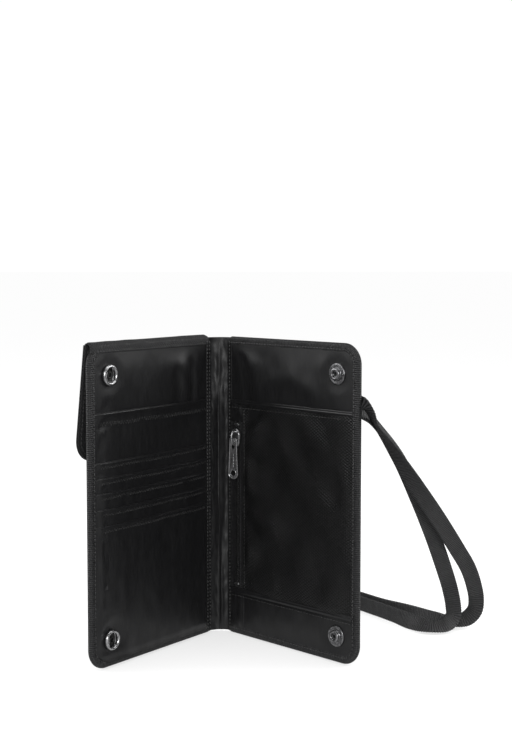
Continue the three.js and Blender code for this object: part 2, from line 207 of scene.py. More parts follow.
def flap_at(u, depth, z):
    """Places a point of the flap's own frame, whose origin is on the flap's hinge."""
    inward = FLAP_PIVOT_DEPTH + depth * math.cos(FLAP_ANGLE) + z * math.sin(FLAP_ANGLE)
    height = FLAP_PIVOT_Z - depth * math.sin(FLAP_ANGLE) + z * math.cos(FLAP_ANGLE)
    return FRONT.at(u, inward, height)


# ---------------------------------------------------------------- numbers and lines

def ease(share):
    """Eases a share that runs from 0 to 1 at both of its ends."""
    return share * share * (3 - 2 * share)


def bell(value, centre, width):
    """Smooth bump of unit height round a centre."""
    return np.exp(-((value - centre) / width) ** 2)


def unit(vectors):
    """Rows of vectors, each scaled to unit length."""
    return vectors / np.linalg.norm(vectors, axis=1, keepdims=True)


def full_turn(count):
    """Angles that divide a full turn evenly."""
    return np.arange(count) / count * 2 * math.pi


def arc(centre, radius, angles):
    """Places on a circle at the given angles."""
    return [(centre[0] + radius * math.cos(a), centre[1] + radius * math.sin(a)) for a in angles]


def way_along(points):
    """Distance travelled at each point of a line."""
    return np.concatenate([[0], np.cumsum(np.linalg.norm(np.diff(points, axis=0), axis=1))])


def at_marks(marks, travelled, values):
    """Rows of values, read at marks on the way along a line."""
    return np.stack([np.interp(marks, travelled, column) for column in np.transpose(values)], -1)


# ---------------------------------------------------------------- materials

def shader(name, colour, roughness, **sockets):
    """New material with its Principled shader; sockets are set by their names."""
    material = bpy.data.materials.new(name)
    material.use_nodes = True
    bsdf = material.node_tree.nodes["Principled BSDF"]
    bsdf.inputs["Base Color"].default_value = (*colour, 1)
    bsdf.inputs["Roughness"].default_value = roughness
    for socket, value in sockets.items():
        bsdf.inputs[socket.replace("_", " ")].default_value = value
    return material


class Nodes:
    """Short ways to add nodes to one material."""

    def __init__(self, material):
        self.tree = material.node_tree
        self.bsdf = self.tree.nodes["Principled BSDF"]

    def link(self, source, target):
        self.tree.links.new(source, target)

    def add(self, kind, **settings):
        node = self.tree.nodes.new(kind)
        for key, value in settings.items():
            setattr(node, key, value)
        return node

    def cloth(self):
        """Place on the flat cloth, in metres: across, up and depth."""
        return self.add("ShaderNodeAttribute", attribute_name="cloth").outputs["Vector"]

    def place(self):
        return self.add("ShaderNodeTexCoord").outputs["Object"]

    def math(self, operation, a, b):
        node = self.add("ShaderNodeMath", operation=operation)
        for socket, value in zip(node.inputs, (a, b)):
            if isinstance(value, (int, float)):
                socket.default_value = value
            else:
                self.link(value, socket)
        return node.outputs["Value"]

    def bands(self, vector, axis, pitch, distortion=0.0):
        """Sine bands from 0 to 1 that repeat every pitch metres along an axis."""
        wave = self.add("ShaderNodeTexWave", bands_direction=axis)
        self.link(vector, wave.inputs["Vector"])
        wave.inputs["Scale"].default_value = 2 * math.pi / 20 / pitch
        wave.inputs["Distortion"].default_value = distortion
        wave.inputs["Detail"].default_value = 1
        return wave.outputs["Fac"]

    def noise(self, vector, size, detail=3):
        texture = self.add("ShaderNodeTexNoise")
        self.link(vector, texture.inputs["Vector"])
        texture.inputs["Scale"].default_value = 1 / size
        texture.inputs["Detail"].default_value = detail
        return texture.outputs["Fac"]

    def stretched(self, vector, scale):
        mapping = self.add("ShaderNodeMapping")
        self.link(vector, mapping.inputs["Vector"])
        mapping.inputs["Scale"].default_value = scale
        return mapping.outputs["Vector"]

    def bump(self, height, distance):
        node = self.add("ShaderNodeBump")
        node.inputs["Distance"].default_value = distance
        node.inputs["Strength"].default_value = 1.0
        self.link(height, node.inputs["Height"])
        self.link(node.outputs["Normal"], self.bsdf.inputs["Normal"])

    def between(self, factor, low, high, socket, start=0.3, end=0.7):
        """Drives a colour or number socket between two values by a factor."""
        ramp = self.add("ShaderNodeValToRGB")
        for element, position, value in zip(ramp.color_ramp.elements, (start, end), (low, high)):
            colour = value if hasattr(value, "__len__") else (value, value, value)
            element.position = position
            element.color = (*colour, 1)
        self.link(factor, ramp.inputs["Fac"])
        self.link(ramp.outputs["Color"], self.bsdf.inputs[socket])


def plain_weave(nodes, vector, pitch):
    """Height of a plain weave: threads over and under each other."""
    across = nodes.math("SUBTRACT", nodes.bands(vector, "X", pitch), 0.5)
    along = nodes.math("SUBTRACT", nodes.bands(vector, "Y", pitch), 0.5)
    return nodes.math("MULTIPLY_ADD", across, along)


def satin_look(name, smooth, dull):
    material = shader(name, (0.0035, 0.0035, 0.004), smooth, Sheen_Weight=0.01, Sheen_Roughness=0.4)
    nodes = Nodes(material)
    cloth = nodes.cloth()
    streaks = nodes.noise(nodes.stretched(cloth, (1, 0.06, 1)), 0.0006, 2)
    twill = nodes.bands(nodes.stretched(cloth, (1, 0.55, 1)), "DIAGONAL", 0.0004)
    height = nodes.math("MULTIPLY_ADD", streaks, 0.8)
    nodes.link(nodes.math("MULTIPLY", twill, 0.25), height.node.inputs[2])
    nodes.bump(height, 0.00004)
    nodes.between(streaks, (0.002, 0.002, 0.0025), (0.007, 0.007, 0.0075), "Base Color")
    nodes.between(nodes.noise(cloth, 0.03), smooth, dull, "Roughness")
    return material


def panel_look():
    """Dobby weave of the zip pocket: small raised dots in a diagonal lattice."""
    material = shader("dobby_weave", (0.005, 0.005, 0.005), 0.42, Specular_IOR_Level=0.4)
    nodes = Nodes(material)
    cloth = nodes.cloth()
    dots = plain_weave(nodes, nodes.stretched(cloth, (0.64, 1, 1)), 0.0019)
    dots.node.inputs[2].default_value = 0.5
    fine = nodes.bands(cloth, "X", 0.0005)
    height = nodes.math("MULTIPLY_ADD", fine, 0.15)
    nodes.link(dots, height.node.inputs[2])
    nodes.bump(height, 0.0006)
    nodes.between(dots, (0.0008, 0.0008, 0.0008), (0.011, 0.011, 0.012), "Base Color", 0.5, 0.75)
    nodes.between(nodes.noise(cloth, 0.02), 0.32, 0.46, "Roughness")
    return material


def fabric_look():
    """Coarse matt polyester of the outside."""
    material = shader("coarse_weave", (0.007, 0.007, 0.0075), 0.78, Sheen_Weight=0.012, Sheen_Roughness=0.5)
    nodes = Nodes(material)
    cloth = nodes.cloth()
    weave = plain_weave(nodes, cloth, 0.0022)
    weave.node.inputs[2].default_value = 0.5
    fibres = nodes.noise(cloth, 0.0004, 2)
    height = nodes.math("MULTIPLY_ADD", fibres, 0.25)
    nodes.link(weave, height.node.inputs[2])
    nodes.bump(height, 0.0005)
    nodes.between(weave, (0.002, 0.002, 0.0025), (0.014, 0.014, 0.015), "Base Color", 0.35, 0.7)
    nodes.between(nodes.noise(cloth, 0.015), 0.7, 0.88, "Roughness")
    return material


def tape_look(name, pitch, colour_low, colour_high, roughness, relief):
    """Ribbed tape: fine ribs across its length."""
    material = shader(name, colour_low, roughness, Sheen_Weight=0.012, Sheen_Roughness=0.4)
    nodes = Nodes(material)
    cloth = nodes.cloth()
    ribs = nodes.bands(cloth, "Y", pitch, 1.5)
    threads = nodes.noise(cloth, pitch * 0.8, 2)
    height = nodes.math("MULTIPLY_ADD", threads, 0.9)
    nodes.link(ribs, height.node.inputs[2])
    nodes.bump(height, pitch * relief)
    nodes.between(nodes.math("MULTIPLY", height, 0.53), colour_low, colour_high, "Base Color")
    nodes.between(nodes.noise(cloth, 0.01), roughness - 0.06, roughness + 0.08, "Roughness")
    return material


def thread_look(name, dark, light):
    material = shader(name, (dark, dark, dark), 0.4, Sheen_Weight=0.03)
    nodes = Nodes(material)
    place = nodes.place()
    nodes.bump(nodes.noise(place, 0.00025, 2), 0.00006)
    nodes.between(nodes.noise(place, 0.002), (dark, dark, dark), (light, light, light), "Base Color")
    return material


def pile_look(name, size):
    """Hook or loop tape: a matt tangle of fibres."""
    material = shader(name, (0.006, 0.006, 0.006), 0.9, Sheen_Weight=0.08)
    nodes = Nodes(material)
    place = nodes.place()
    tangle = nodes.noise(place, size, 5)
    nodes.bump(tangle, 0.0005)
    nodes.between(tangle, (0.003, 0.003, 0.003), (0.016, 0.016, 0.017), "Base Color")
    return material


def metal_look(name, colour, roughness, wear):
    """Plated metal with soft brushing and a little tarnish."""
    material = shader(name, colour, roughness, Metallic=1.0)
    nodes = Nodes(material)
    place = nodes.place()
    brushed = nodes.noise(nodes.stretched(place, (1, 1, 6)), 0.0009, 4)
    nodes.bump(brushed, 0.00001)
    tarnish = nodes.noise(place, 0.0016, 4)
    dark = tuple(channel * wear for channel in colour)
    nodes.between(tarnish, dark, colour, "Base Color", 0.32, 0.62)
    nodes.between(brushed, roughness - 0.07, roughness + 0.12, "Roughness")
    return material


def plastic_look():
    material = shader("coil_nylon", (0.004, 0.004, 0.004), 0.35)
    nodes = Nodes(material)
    place = nodes.place()
    nodes.bump(nodes.noise(place, 0.0007), 0.00003)
    nodes.between(nodes.noise(place, 0.003), 0.3, 0.45, "Roughness")
    return material


def board_look():
    material = shader("grey_board", (0.2, 0.18, 0.16), 0.9)
    nodes = Nodes(material)
    fibres = nodes.noise(nodes.place(), 0.0008, 5)
    nodes.bump(fibres, 0.0001)
    nodes.between(fibres, (0.15, 0.135, 0.12), (0.24, 0.22, 0.19), "Base Color")
    return material


LOOKS = {
    "satin": satin_look("satin_weave", 0.38, 0.46),
    "spine_satin": satin_look("spine_satin_weave", 0.47, 0.54),
    "panel": panel_look(),
    "fabric": fabric_look(),
    "binding": tape_look("binding_tape", 0.0013, (0.0015, 0.0015, 0.002), (0.012, 0.012, 0.013), 0.5, 0.25),
    "zip_tape": tape_look("zip_tape_twill", 0.0011, (0.002, 0.002, 0.0025), (0.009, 0.009, 0.0095),
                          0.52, 0.12),
    "webbing": tape_look("webbing_weave", 0.0014, (0.003, 0.003, 0.0035), (0.02, 0.02, 0.021), 0.5, 0.2),
    "thread": thread_look("sewing_thread", 0.015, 0.05),
    "hem_thread": thread_look("hem_thread", 0.004, 0.024),
    "hook": pile_look("hook_tape", 0.0009),
    "loop": pile_look("loop_tape", 0.0006),
    "gunmetal": metal_look("gunmetal_plating", (0.6, 0.6, 0.61), 0.26, 0.6),
    "stud_metal": metal_look("stud_plating", (0.36, 0.36, 0.37), 0.32, 0.3),
    # Near-black plating: painted shade for the hollows of the press studs, whose real plating is bright like
    # the rest of the stud.
    "painted_shade_metal": metal_look("painted_shade_plating", (0.06, 0.06, 0.06), 0.4, 0.5),
    "nickel": metal_look("nickel_plating", (0.66, 0.66, 0.67), 0.26, 0.6),
    "nylon": plastic_look(),
    "board": board_look(),
}


# ---------------------------------------------------------------- meshes

def linked(name, data):
    """New object in the scene."""
    made = bpy.data.objects.new(name, data)
    bpy.context.scene.collection.objects.link(made)
    return made


class Bag:
    """Collects closed bodies that become one piece."""

    def __init__(self):
        self.verts = []
        self.cloth = []
        self.faces = []
        self.count = 0

    def add(self, verts, faces, cloth=None):
        verts = np.asarray(verts, float).reshape(-1, 3)
        cloth = verts if cloth is None else np.asarray(cloth, float).reshape(-1, 3)
        self.verts.append(verts)
        self.cloth.append(cloth)
        self.faces.extend([tuple(int(i) + self.count for i in face) for face in faces])
        self.count += len(verts)
        return self

    def piece(self, name, look, slot, body=None, stands_for=(), sharp=None):
        """Makes the object. Without a body it is left unattached."""
        mesh = bpy.data.meshes.new(name)
        mesh.from_pydata(np.concatenate(self.verts).tolist(), [], self.faces)
        attribute = mesh.attributes.new("cloth", "FLOAT_VECTOR", "POINT")
        attribute.data.foreach_set("vector", np.concatenate(self.cloth).astype(np.float32).ravel())
        shape = bmesh.new()
        shape.from_mesh(mesh)
        bmesh.ops.recalc_face_normals(shape, faces=shape.faces)
        shape.to_mesh(mesh)
        shape.free()
        mesh.shade_smooth()
        if sharp:
            mesh.set_sharp_from_angle(angle=math.radians(sharp))
        made = linked(name, mesh)
        mesh.materials.append(LOOKS[look])
        if stands_for:
            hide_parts(*stands_for)
        if body:
            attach(made, body)
        return made


def grid_faces(index):
    """Quads of a rows x columns array of vertex numbers."""
    corners = (index[:-1, :-1], index[:-1, 1:], index[1:, 1:], index[1:, :-1])
    return np.stack([c.ravel() for c in corners], -1).tolist()


def rim_faces(index, offset):
    """Quads that join the border of a grid to the same border, offset vertices later."""
    loop = [*index[0, :], *index[1:, -1], *index[-1, -2::-1], *index[-2:0:-1, 0]]
    following = loop[1:] + loop[:1]
    return [(a, b, b + offset, a + offset) for a, b in zip(loop, following)]


def shell_faces(index):
    """Faces of a closed sheet: two grids of the same size and the rim between them."""
    return grid_faces(index) + grid_faces(index + index.size) + rim_faces(index, index.size)


def line_normals(line):
    """Unit normals of a flat line, to the right of its way."""
    tangent = unit(np.gradient(line, axis=0))
    return np.stack([tangent[:, 1], -tangent[:, 0]], -1)


def tube_faces(rings, sides):
    """Quads of a tube of rings, with flat ends."""
    index = np.arange(rings * sides).reshape(rings, sides)
    index = np.concatenate([index, index[:, :1]], 1)
    ends = [tuple(range(sides)), tuple(range((rings - 1) * sides, rings * sides))]
    return grid_faces(index) + ends


def spread(start, end, step, fine=(0, 0.12, 0.35, 0.8)):
    """Positions from start to end, closer together near both ends."""
    inner = np.linspace(start + fine[-1], end - fine[-1], max(2, round((end - start) / step)))
    near = start + np.array(fine[:-1])
    far = end - np.array(fine[:-1])[::-1]
    return np.concatenate([near, inner, far])


def setback(distance, radius):
    """How far a round corner moves the side in, at a distance from the corner's end."""
    if radius <= 0:
        return np.zeros_like(distance)
    short = np.clip(radius - distance, 0, radius)
    return radius - np.sqrt(radius ** 2 - short ** 2)


class Outline:
    """Grid over a rectangle whose right-hand corners can be round, in mm."""

    def __init__(self, left, right, base, top, base_r=0, top_r=0, step=2, rows=None, both=False):
        fine = (0, 0.12, 0.35, 0.8, 1.6, 2.8, 4.4) if base_r or top_r else (0, 0.12, 0.35, 0.8)
        z = spread(base, top, step, fine) if rows is None else np.asarray(rows, float)
        inset = setback(z - base, base_r) + setback(top - z, top_r)
        share = (spread(left, right, step) - left) / (right - left)
        start = left + inset if both else np.full_like(z, left)
        end = right - inset
        self.u = start[:, None] + (end - start)[:, None] * share[None, :]
        self.z = np.repeat(z[:, None], len(share), 1)
        sides = [self.u - start[:, None], end[:, None] - self.u, self.z - base, top - self.z]
        self.border = np.minimum.reduce(sides)
        self.from_top = top - self.z

    def rounded(self, radius):
        """Fall of the surface towards its border, so that the rim is round."""
        short = np.clip(1 - self.border / radius, 0, 1)
        return radius * (1 - np.sqrt(1 - short ** 2))

    def closed(self, place, face, back):
        """Closed sheet between two depths: verts, faces and the place on the cloth."""
        shown = place(self.u, face, self.z).reshape(-1, 3)
        hidden = place(self.u, np.minimum(back, face - 0.05), self.z).reshape(-1, 3)
        index = np.arange(self.u.size).reshape(self.u.shape)
        faces = shell_faces(index)
        cloth = np.stack([self.u, self.z, np.zeros_like(self.u)], -1).reshape(-1, 3) * MM
        return np.concatenate([shown, hidden]), faces, np.concatenate([cloth, cloth])

    def sheet(self, place, face, back, *piece):
        """Makes a closed sheet between two depths into a piece."""
        return Bag().add(*self.closed(place, face, back)).piece(*piece)


def ripple(u, z, length_u, length_z, seed, waves=14):
    """Smooth random relief between about -1 and 1, with typical wavelengths in mm."""
    draw = np.random.default_rng(seed)
    total = np.zeros(np.broadcast(u, z).shape)
    for _ in range(waves):
        angle = draw.uniform(0, 2 * math.pi)
        rate = 2 * math.pi * draw.uniform(0.5, 1.4)
        phase = draw.uniform(0, 2 * math.pi)
        total += np.sin(rate * (math.cos(angle) * u / length_u + math.sin(angle) * z / length_z) + phase)
    return total / math.sqrt(waves) * 0.8


def crease(u, z, points, width):
    """Ridge of unit height along a line through points, fading towards its ends."""
    points = np.asarray(points, float)
    samples = 24
    steps = np.linspace(0, len(points) - 1, samples)
    line_u = np.interp(steps, range(len(points)), points[:, 0])
    line_z = np.interp(steps, range(len(points)), points[:, 1])
    best = np.zeros(np.broadcast(u, z).shape)
    for k in range(samples):
        fade = math.sin(math.pi * (k + 0.5) / samples) ** 0.6
        away = (u - line_u[k]) ** 2 + (z - line_z[k]) ** 2
        best = np.maximum(best, fade * np.exp(-away / width ** 2))
    return best


def pucker(u, z, centre_u, centre_z, reach, spokes, seed):
    """Folds that run out from a press stud, starting at its rim."""
    draw = np.random.default_rng(seed)
    angle = np.arctan2(z - centre_z, u - centre_u)
    distance = np.hypot(u - centre_u, z - centre_z)
    fade = bell(distance, 7, reach) * (distance > 1)
    folds = np.zeros_like(distance)
    for k in range(spokes):
        turn = 2 * math.pi * k / spokes + draw.uniform(-0.35, 0.35)
        gap = np.angle(np.exp(1j * (angle - turn)))
        folds += draw.uniform(0.5, 1) * bell(gap, 0, draw.uniform(0.16, 0.3))
    return folds * fade


def seated(depth, u, z, seat):
    """Presses a sheet down to a seat under both press studs."""
    for height in SNAP_HEIGHTS.values():
        distance = np.hypot(u - SNAP_U, z - height)
        share = ease(np.clip((distance - SNAP_REACH) / 8, 0, 1))
        depth = seat + (depth - seat) * share
    return depth


def within_room(depth, u, share):
    """Softly limits a depth to its share of the room between the closed covers."""
    room = 2 * SPINE_HALF - 2 * u * math.sin(CLOSED_LEAN)
    excess = (depth - share * room) / 0.15
    return depth - 0.15 * np.logaddexp(0, excess)


# ---------------------------------------------------------------- thread

def resample(points, pitch):
    """Places, and their shares of the way, at a regular pitch along a line, in metres."""
    points = np.asarray(points, float)
    travelled = way_along(points)
    count = max(1, int(travelled[-1] / pitch))
    marks = (np.arange(count) + 0.5) * travelled[-1] / count
    return at_marks(marks, travelled, points), marks, travelled


def stitches(bag, points, normals, pitch=2.5, length=1.9, radius=0.2, seed=5):
    """Adds a row of stitches along a line; each one dives into the cloth at its ends."""
    centres, marks, travelled = resample(points, pitch * MM)
    normals = np.broadcast_to(np.asarray(normals, float), np.shape(points))
    up = unit(at_marks(marks, travelled, normals))
    heading = np.gradient(np.asarray(points, float), axis=0)
    along = unit(at_marks(marks, travelled, heading))
    side = np.cross(up, along)
    draw = np.random.default_rng(seed)
    sides = 6
    stations = [(-1, 0.35, -0.5), (-0.7, 0.9, 0.35), (0, 1, 0.6), (0.7, 0.9, 0.35), (1, 0.35, -0.5)]
    faces = tube_faces(len(stations), sides)
    turns = full_turn(sides)
    for c, n, t, b in zip(centres, up, along, side):
        half = length / 2 * draw.uniform(0.9, 1.06)
        yaw = draw.uniform(-0.09, 0.09)
        heading = t + b * yaw
        ring = []
        for reach, thick, lift in stations:
            middle = c + (heading * reach * half + n * lift * radius) * MM
            for turn in turns:
                around = b * math.cos(turn) + n * math.sin(turn)
                ring.append(middle + around * thick * radius * MM)
        bag.add(ring, faces)


# ---------------------------------------------------------------- camera, light and floor

def make_camera():
    data = bpy.data.cameras.new("camera")
    data.lens = LENS
    data.clip_start = 0.05
    camera = linked("camera", data)
    camera.location = Vector(CAMERA_PLACE) * MM
    level = math.cos(CAMERA_PITCH)
    ahead = Vector((math.sin(CAMERA_YAW) * level, math.cos(CAMERA_YAW) * level, -math.sin(CAMERA_PITCH)))
    camera.rotation_euler = ahead.to_track_quat("-Z", "Y").to_euler()
    bpy.context.scene.camera = camera


def area_light(name, place, target, size, power):
    data = bpy.data.lights.new(name, "AREA")
    data.shape = "RECTANGLE"
    data.size, data.size_y = size
    data.energy = power
    light = linked(name, data)
    light.location = place
    light.rotation_euler = (Vector(target) - Vector(place)).to_track_quat("-Z", "Y").to_euler()


def light_for(tree, ray, seen, otherwise):
    """Mixes two shaders by the kind of ray that meets them."""
    path = tree.nodes.new("ShaderNodeLightPath")
    mix = tree.nodes.new("ShaderNodeMixShader")
    tree.links.new(path.outputs[ray], mix.inputs["Fac"])
    tree.links.new(otherwise, mix.inputs[1])
    tree.links.new(seen, mix.inputs[2])
    return mix.outputs["Shader"]


def glow(tree, kind, strength):
    node = tree.nodes.new(kind)
    node.inputs["Color"].default_value = (1, 1, 1, 1)
    node.inputs["Strength"].default_value = strength
    return node.outputs[0]


def make_world():
    """White to the camera, even light for the floor, dim in reflections."""
    world = bpy.data.worlds.new("studio")
    world.use_nodes = True
    tree = world.node_tree
    shown, even, dim = (glow(tree, "ShaderNodeBackground", s) for s in (WHITE, EVEN_LIGHT, REFLECTED_ROOM))
    unseen = light_for(tree, "Is Glossy Ray", dim, even)
    surface = light_for(tree, "Is Camera Ray", shown, unseen)
    tree.links.new(surface, tree.nodes["World Output"].inputs["Surface"])
    bpy.context.scene.world = world
    bpy.context.scene.view_settings.view_transform = "Standard"


def make_floor():
    """White paper whose reflection in the object is held back, more so further away."""
    mesh = bpy.data.meshes.new("floor")
    corners = [(x * FLOOR_REACH, y * FLOOR_REACH, 0) for x, y in ((-1, -1), (1, -1), (1, 1), (-1, 1))]
    mesh.from_pydata(corners, [], [(0, 1, 2, 3)])
    floor = linked("floor", mesh)
    floor.location.z = FLOOR_DROP
    material = shader("floor_paper", (PAPER, PAPER, PAPER), 1.0, Specular_IOR_Level=0.0)
    tree = material.node_tree
    bsdf = tree.nodes["Principled BSDF"]
    bsdf.inputs["Emission Color"].default_value = (1, 1, 1, 1)
    bsdf.inputs["Emission Strength"].default_value = PAPER_GLOW
    paper = bsdf.outputs["BSDF"]
    dim = glow(tree, "ShaderNodeEmission", REFLECTED_FLOOR_NEAR)
    distance = tree.nodes.new("ShaderNodeVectorMath")
    distance.operation = "LENGTH"
    fade = tree.nodes.new("ShaderNodeMapRange")
    for socket, value in zip(("From Min", "From Max", "To Min", "To Max"),
                             (*FLOOR_FADE, REFLECTED_FLOOR_NEAR, REFLECTED_FLOOR_FAR)):
        fade.inputs[socket].default_value = value
    tree.links.new(tree.nodes.new("ShaderNodeTexCoord").outputs["Object"], distance.inputs[0])
    tree.links.new(distance.outputs["Value"], fade.inputs["Value"])
    tree.links.new(fade.outputs["Result"], dim.node.inputs["Strength"])
    surface = light_for(tree, "Is Glossy Ray", dim, paper)
    tree.links.new(surface, tree.nodes["Material Output"].inputs["Surface"])
    mesh.materials.append(material)


def make_studio():
    make_camera()
    make_world()
    make_floor()
    area_light("top_softbox", (0.0, -0.1, 1.5), (0.0, 0, 0.1), (1.3, 0.8), 7)
    area_light("front_softbox", (-0.05, -1.5, 0.6), (0.0, 0, 0.1), (1.0, 0.5), 14)
    area_light("left_softbox", (-1.25, 0.2, 0.6), (0, 0, 0.12), (0.9, 1.0), 11)
    area_light("right_softbox", (1.25, 0.2, 0.6), (0, 0, 0.12), (0.9, 1.0), 11)


# ---------------------------------------------------------------- neck strap

def route_curve(points, count):
    """Centripetal Catmull-Rom curve through points, at even steps of its control points."""
    points = np.asarray(points, float)
    ends = [2 * points[0] - points[1], 2 * points[-1] - points[-2]]
    padded = np.concatenate([ends[:1], points, ends[1:]])
    out = []
    for step in np.linspace(0, len(points) - 1, count):
        start = min(int(step), len(points) - 2)
        share = step - start
        a, b, c, d = padded[start:start + 4]
        gap = [max(np.linalg.norm(q - p) ** 0.5, 1e-4) for p, q in ((a, b), (b, c), (c, d))]
        leave = ((b - a) / gap[0] - (c - a) / (gap[0] + gap[1]) + (c - b) / gap[1]) * gap[1]
        arrive = ((c - b) / gap[1] - (d - b) / (gap[1] + gap[2]) + (d - c) / gap[2]) * gap[1]
        bend = -3 * b + 3 * c - 2 * leave - arrive
        cubic = 2 * b - 2 * c + leave + arrive
        out.append(b + leave * share + bend * share ** 2 + cubic * share ** 3)
    return np.array(out)


def even_steps(points, facing, pitch):
    travelled = way_along(points)
    marks = np.arange(0, travelled[-1], pitch)
    return at_marks(marks, travelled, points), at_marks(marks, travelled, facing), marks


def neck_strap():
    """Ribbed webbing along the route, with ribs and scalloped edges in the mesh."""
    rib = 1.4
    per_rib = 4
    route = np.array(STRAP_ROUTE)
    shift = np.array([SPINE_X, SPINE_Y, 0])
    points = route_curve(route[:, :3] + shift, 1200)
    facing = route_curve(route[:, 3:], 1200)
    points, facing, marks = even_steps(points, facing, rib / per_rib)
    along = unit(np.gradient(points, axis=0))
    across = unit(np.cross(along, facing))
    out = np.cross(across, along)
    wave = np.abs(np.sin(math.pi * marks / rib))
    half = STRAP_WIDTH / 2
    section = [(-1, 0.3), (-0.93, 0.92), (-0.8, 1.05), (-0.55, 0.88), (0, 0.9), (0.55, 0.88), (0.8, 1.05),
               (0.93, 0.92), (1, 0.3)]
    section += [(w, -t) for w, t in reversed(section)]
    verts, cloth = [], []
    for w, t in section:
        width = w * (half - 0.22 + 0.22 * wave)
        thick = t * (0.36 + 0.22 * wave)
        verts.append(points + across * width[:, None] + out * thick[:, None])
        cloth.append(np.stack([np.full_like(marks, w * half), marks, np.full_like(marks, t)], -1))
    verts = np.stack(verts, 1).reshape(-1, 3) * MM
    cloth = np.stack(cloth, 1).reshape(-1, 3) * MM
    bag = Bag().add(verts, tube_faces(len(marks), len(section)), cloth)
    strap = bag.piece("neck_strap_webbing", "webbing", "webbing", "back_cover", ["neck_strap"])


# ---------------------------------------------------------------- covers

def lining_relief(cover, u, z):
    """Soft folds of a cover's lining above the pockets."""
    relief = 0.35 * ripple(u, z, 30, 60, 11 + cover.side) + 0.12 * ripple(u, z, 12, 26, 21 + cover.side)
    edge = np.clip((u - 100) / 8, 0, 1)
    if cover is FRONT:
        relief += 0.5 * edge * ripple(u, z, 16, 11, 45)
        relief += 1.2 * crease(u, z, [(44, 184), (26, 180), (12, 172), (12, 158)], 12)
        relief += 1.1 * crease(u, z, [(31, 182), (29, 176), (26, 166), (27, 156)], 4.4)
        relief += 1.3 * crease(u, z, [(15, 184), (12, 176), (13, 158)], 4)
        relief -= 2.6 * crease(u, z, [(21, 186), (20, 172), (20, 156)], 3)
        relief -= 1.6 * crease(u, z, [(37, 180), (35, 170), (35, 156)], 3.4)
    else:
        relief += 1.6 * crease(u, z, [(4, 184), (13, 188), (26, 180), (30, 164)], 10)
        relief += 1.4 * crease(u, z, [(7, 182), (6, 176), (8, 164)], 4.2)
        relief -= 3.6 * crease(u, z, [(10, 189), (15, 184), (19, 172), (21, 156)], 3.6)
        relief += 1.1 * crease(u, z, [(30, 162), (46, 173), (62, 175), (80, 168), (96, 158)], 7)
    relief += 0.25 * pucker(u, z, SNAP_U, SNAP_HEIGHTS["upper"], 6, 7, 31 + cover.side)
    relief += 0.25 * pucker(u, z, SNAP_U, SNAP_HEIGHTS["lower"], 6, 6, 41 + cover.side)
    return relief


def cover_lining(cover):
    name = cover.body + "_lining"
    grid = Outline(SEAM_U - 0.6, WIDTH - 1.2, 1.2, HEIGHT - 1.2, CORNER_R - 1, CORNER_R - 1, 1.5)
    calm = ease(np.clip((grid.border - 4) / 13, 0, 1))
    near_fold = np.clip((grid.u - SEAM_U) / 3, 0, 1)
    bare = np.clip((grid.z - 153) / 6, 0, 1)
    if cover is BACK:
        bare = np.maximum(bare, np.clip((30 - grid.z) / 3, 0, 1))
    relief = 0.3 + lining_relief(cover, grid.u, grid.z)
    depth = 2.35 + bare * (0.4 + calm * near_fold * np.maximum(relief, -0.45))
    depth = seated(depth, grid.u, grid.z, SNAP_SEAT - 0.06)
    return grid.sheet(cover.at, depth, 1.86, name + "_cloth", "satin", "satin", cover.body, [name])


def cover_shell(cover):
    """Coarse outer fabric, a little soft over the board."""
    name = cover.body + "_shell"
    grid = Outline(1.0, WIDTH - 0.6, 0.6, HEIGHT - 0.6, CORNER_R - 0.6, CORNER_R - 0.6, 2.2)
    relief = 0.14 * ripple(grid.u, grid.z, 40, 60, 51 + cover.side)
    calm = np.clip((grid.border - 2) / 8, 0, 1)
    outside = -0.02 - calm * (0.12 + relief)
    return grid.sheet(cover.at, 0.85, outside, name + "_cloth", "fabric", "outer_fabric", cover.body, [name])


def edge_path(start):
    """Edge of a cover from the fold, round the free side and back: place, normal, travel."""
    straight = WIDTH - CORNER_R - start
    turn = math.pi / 2 * CORNER_R
    ends = np.cumsum([0, straight, turn, HEIGHT - 2 * CORNER_R, turn, straight])
    travel = np.linspace(0, ends[-1], round(ends[-1] / EDGE_STEP))
    angle = np.radians(np.interp(travel, ends, [-90, -90, 0, 0, 90, 90]))
    normals = np.stack([np.cos(angle), np.sin(angle)], -1)
    across, low, high = WIDTH - CORNER_R, CORNER_R, HEIGHT - CORNER_R
    centre_u = np.interp(travel, ends, [start, across, across, across, across, start])
    centre_z = np.interp(travel, ends, [low, low, low, high, high, high])
    return np.stack([centre_u, centre_z], -1) + CORNER_R * normals, normals, travel


def in_corner(places):
    """1 in a round corner of the cover, 0 on the straight sides."""
    u, z = places[:, 0], places[:, 1]
    along = np.clip((u - (WIDTH - CORNER_R - 3)) / 4, 0, 1)
    high = np.clip((z - (HEIGHT - CORNER_R - 3)) / 4, 0, 1)
    low = np.clip(((CORNER_R + 3) - z) / 4, 0, 1)
    return along * np.maximum(high, low)


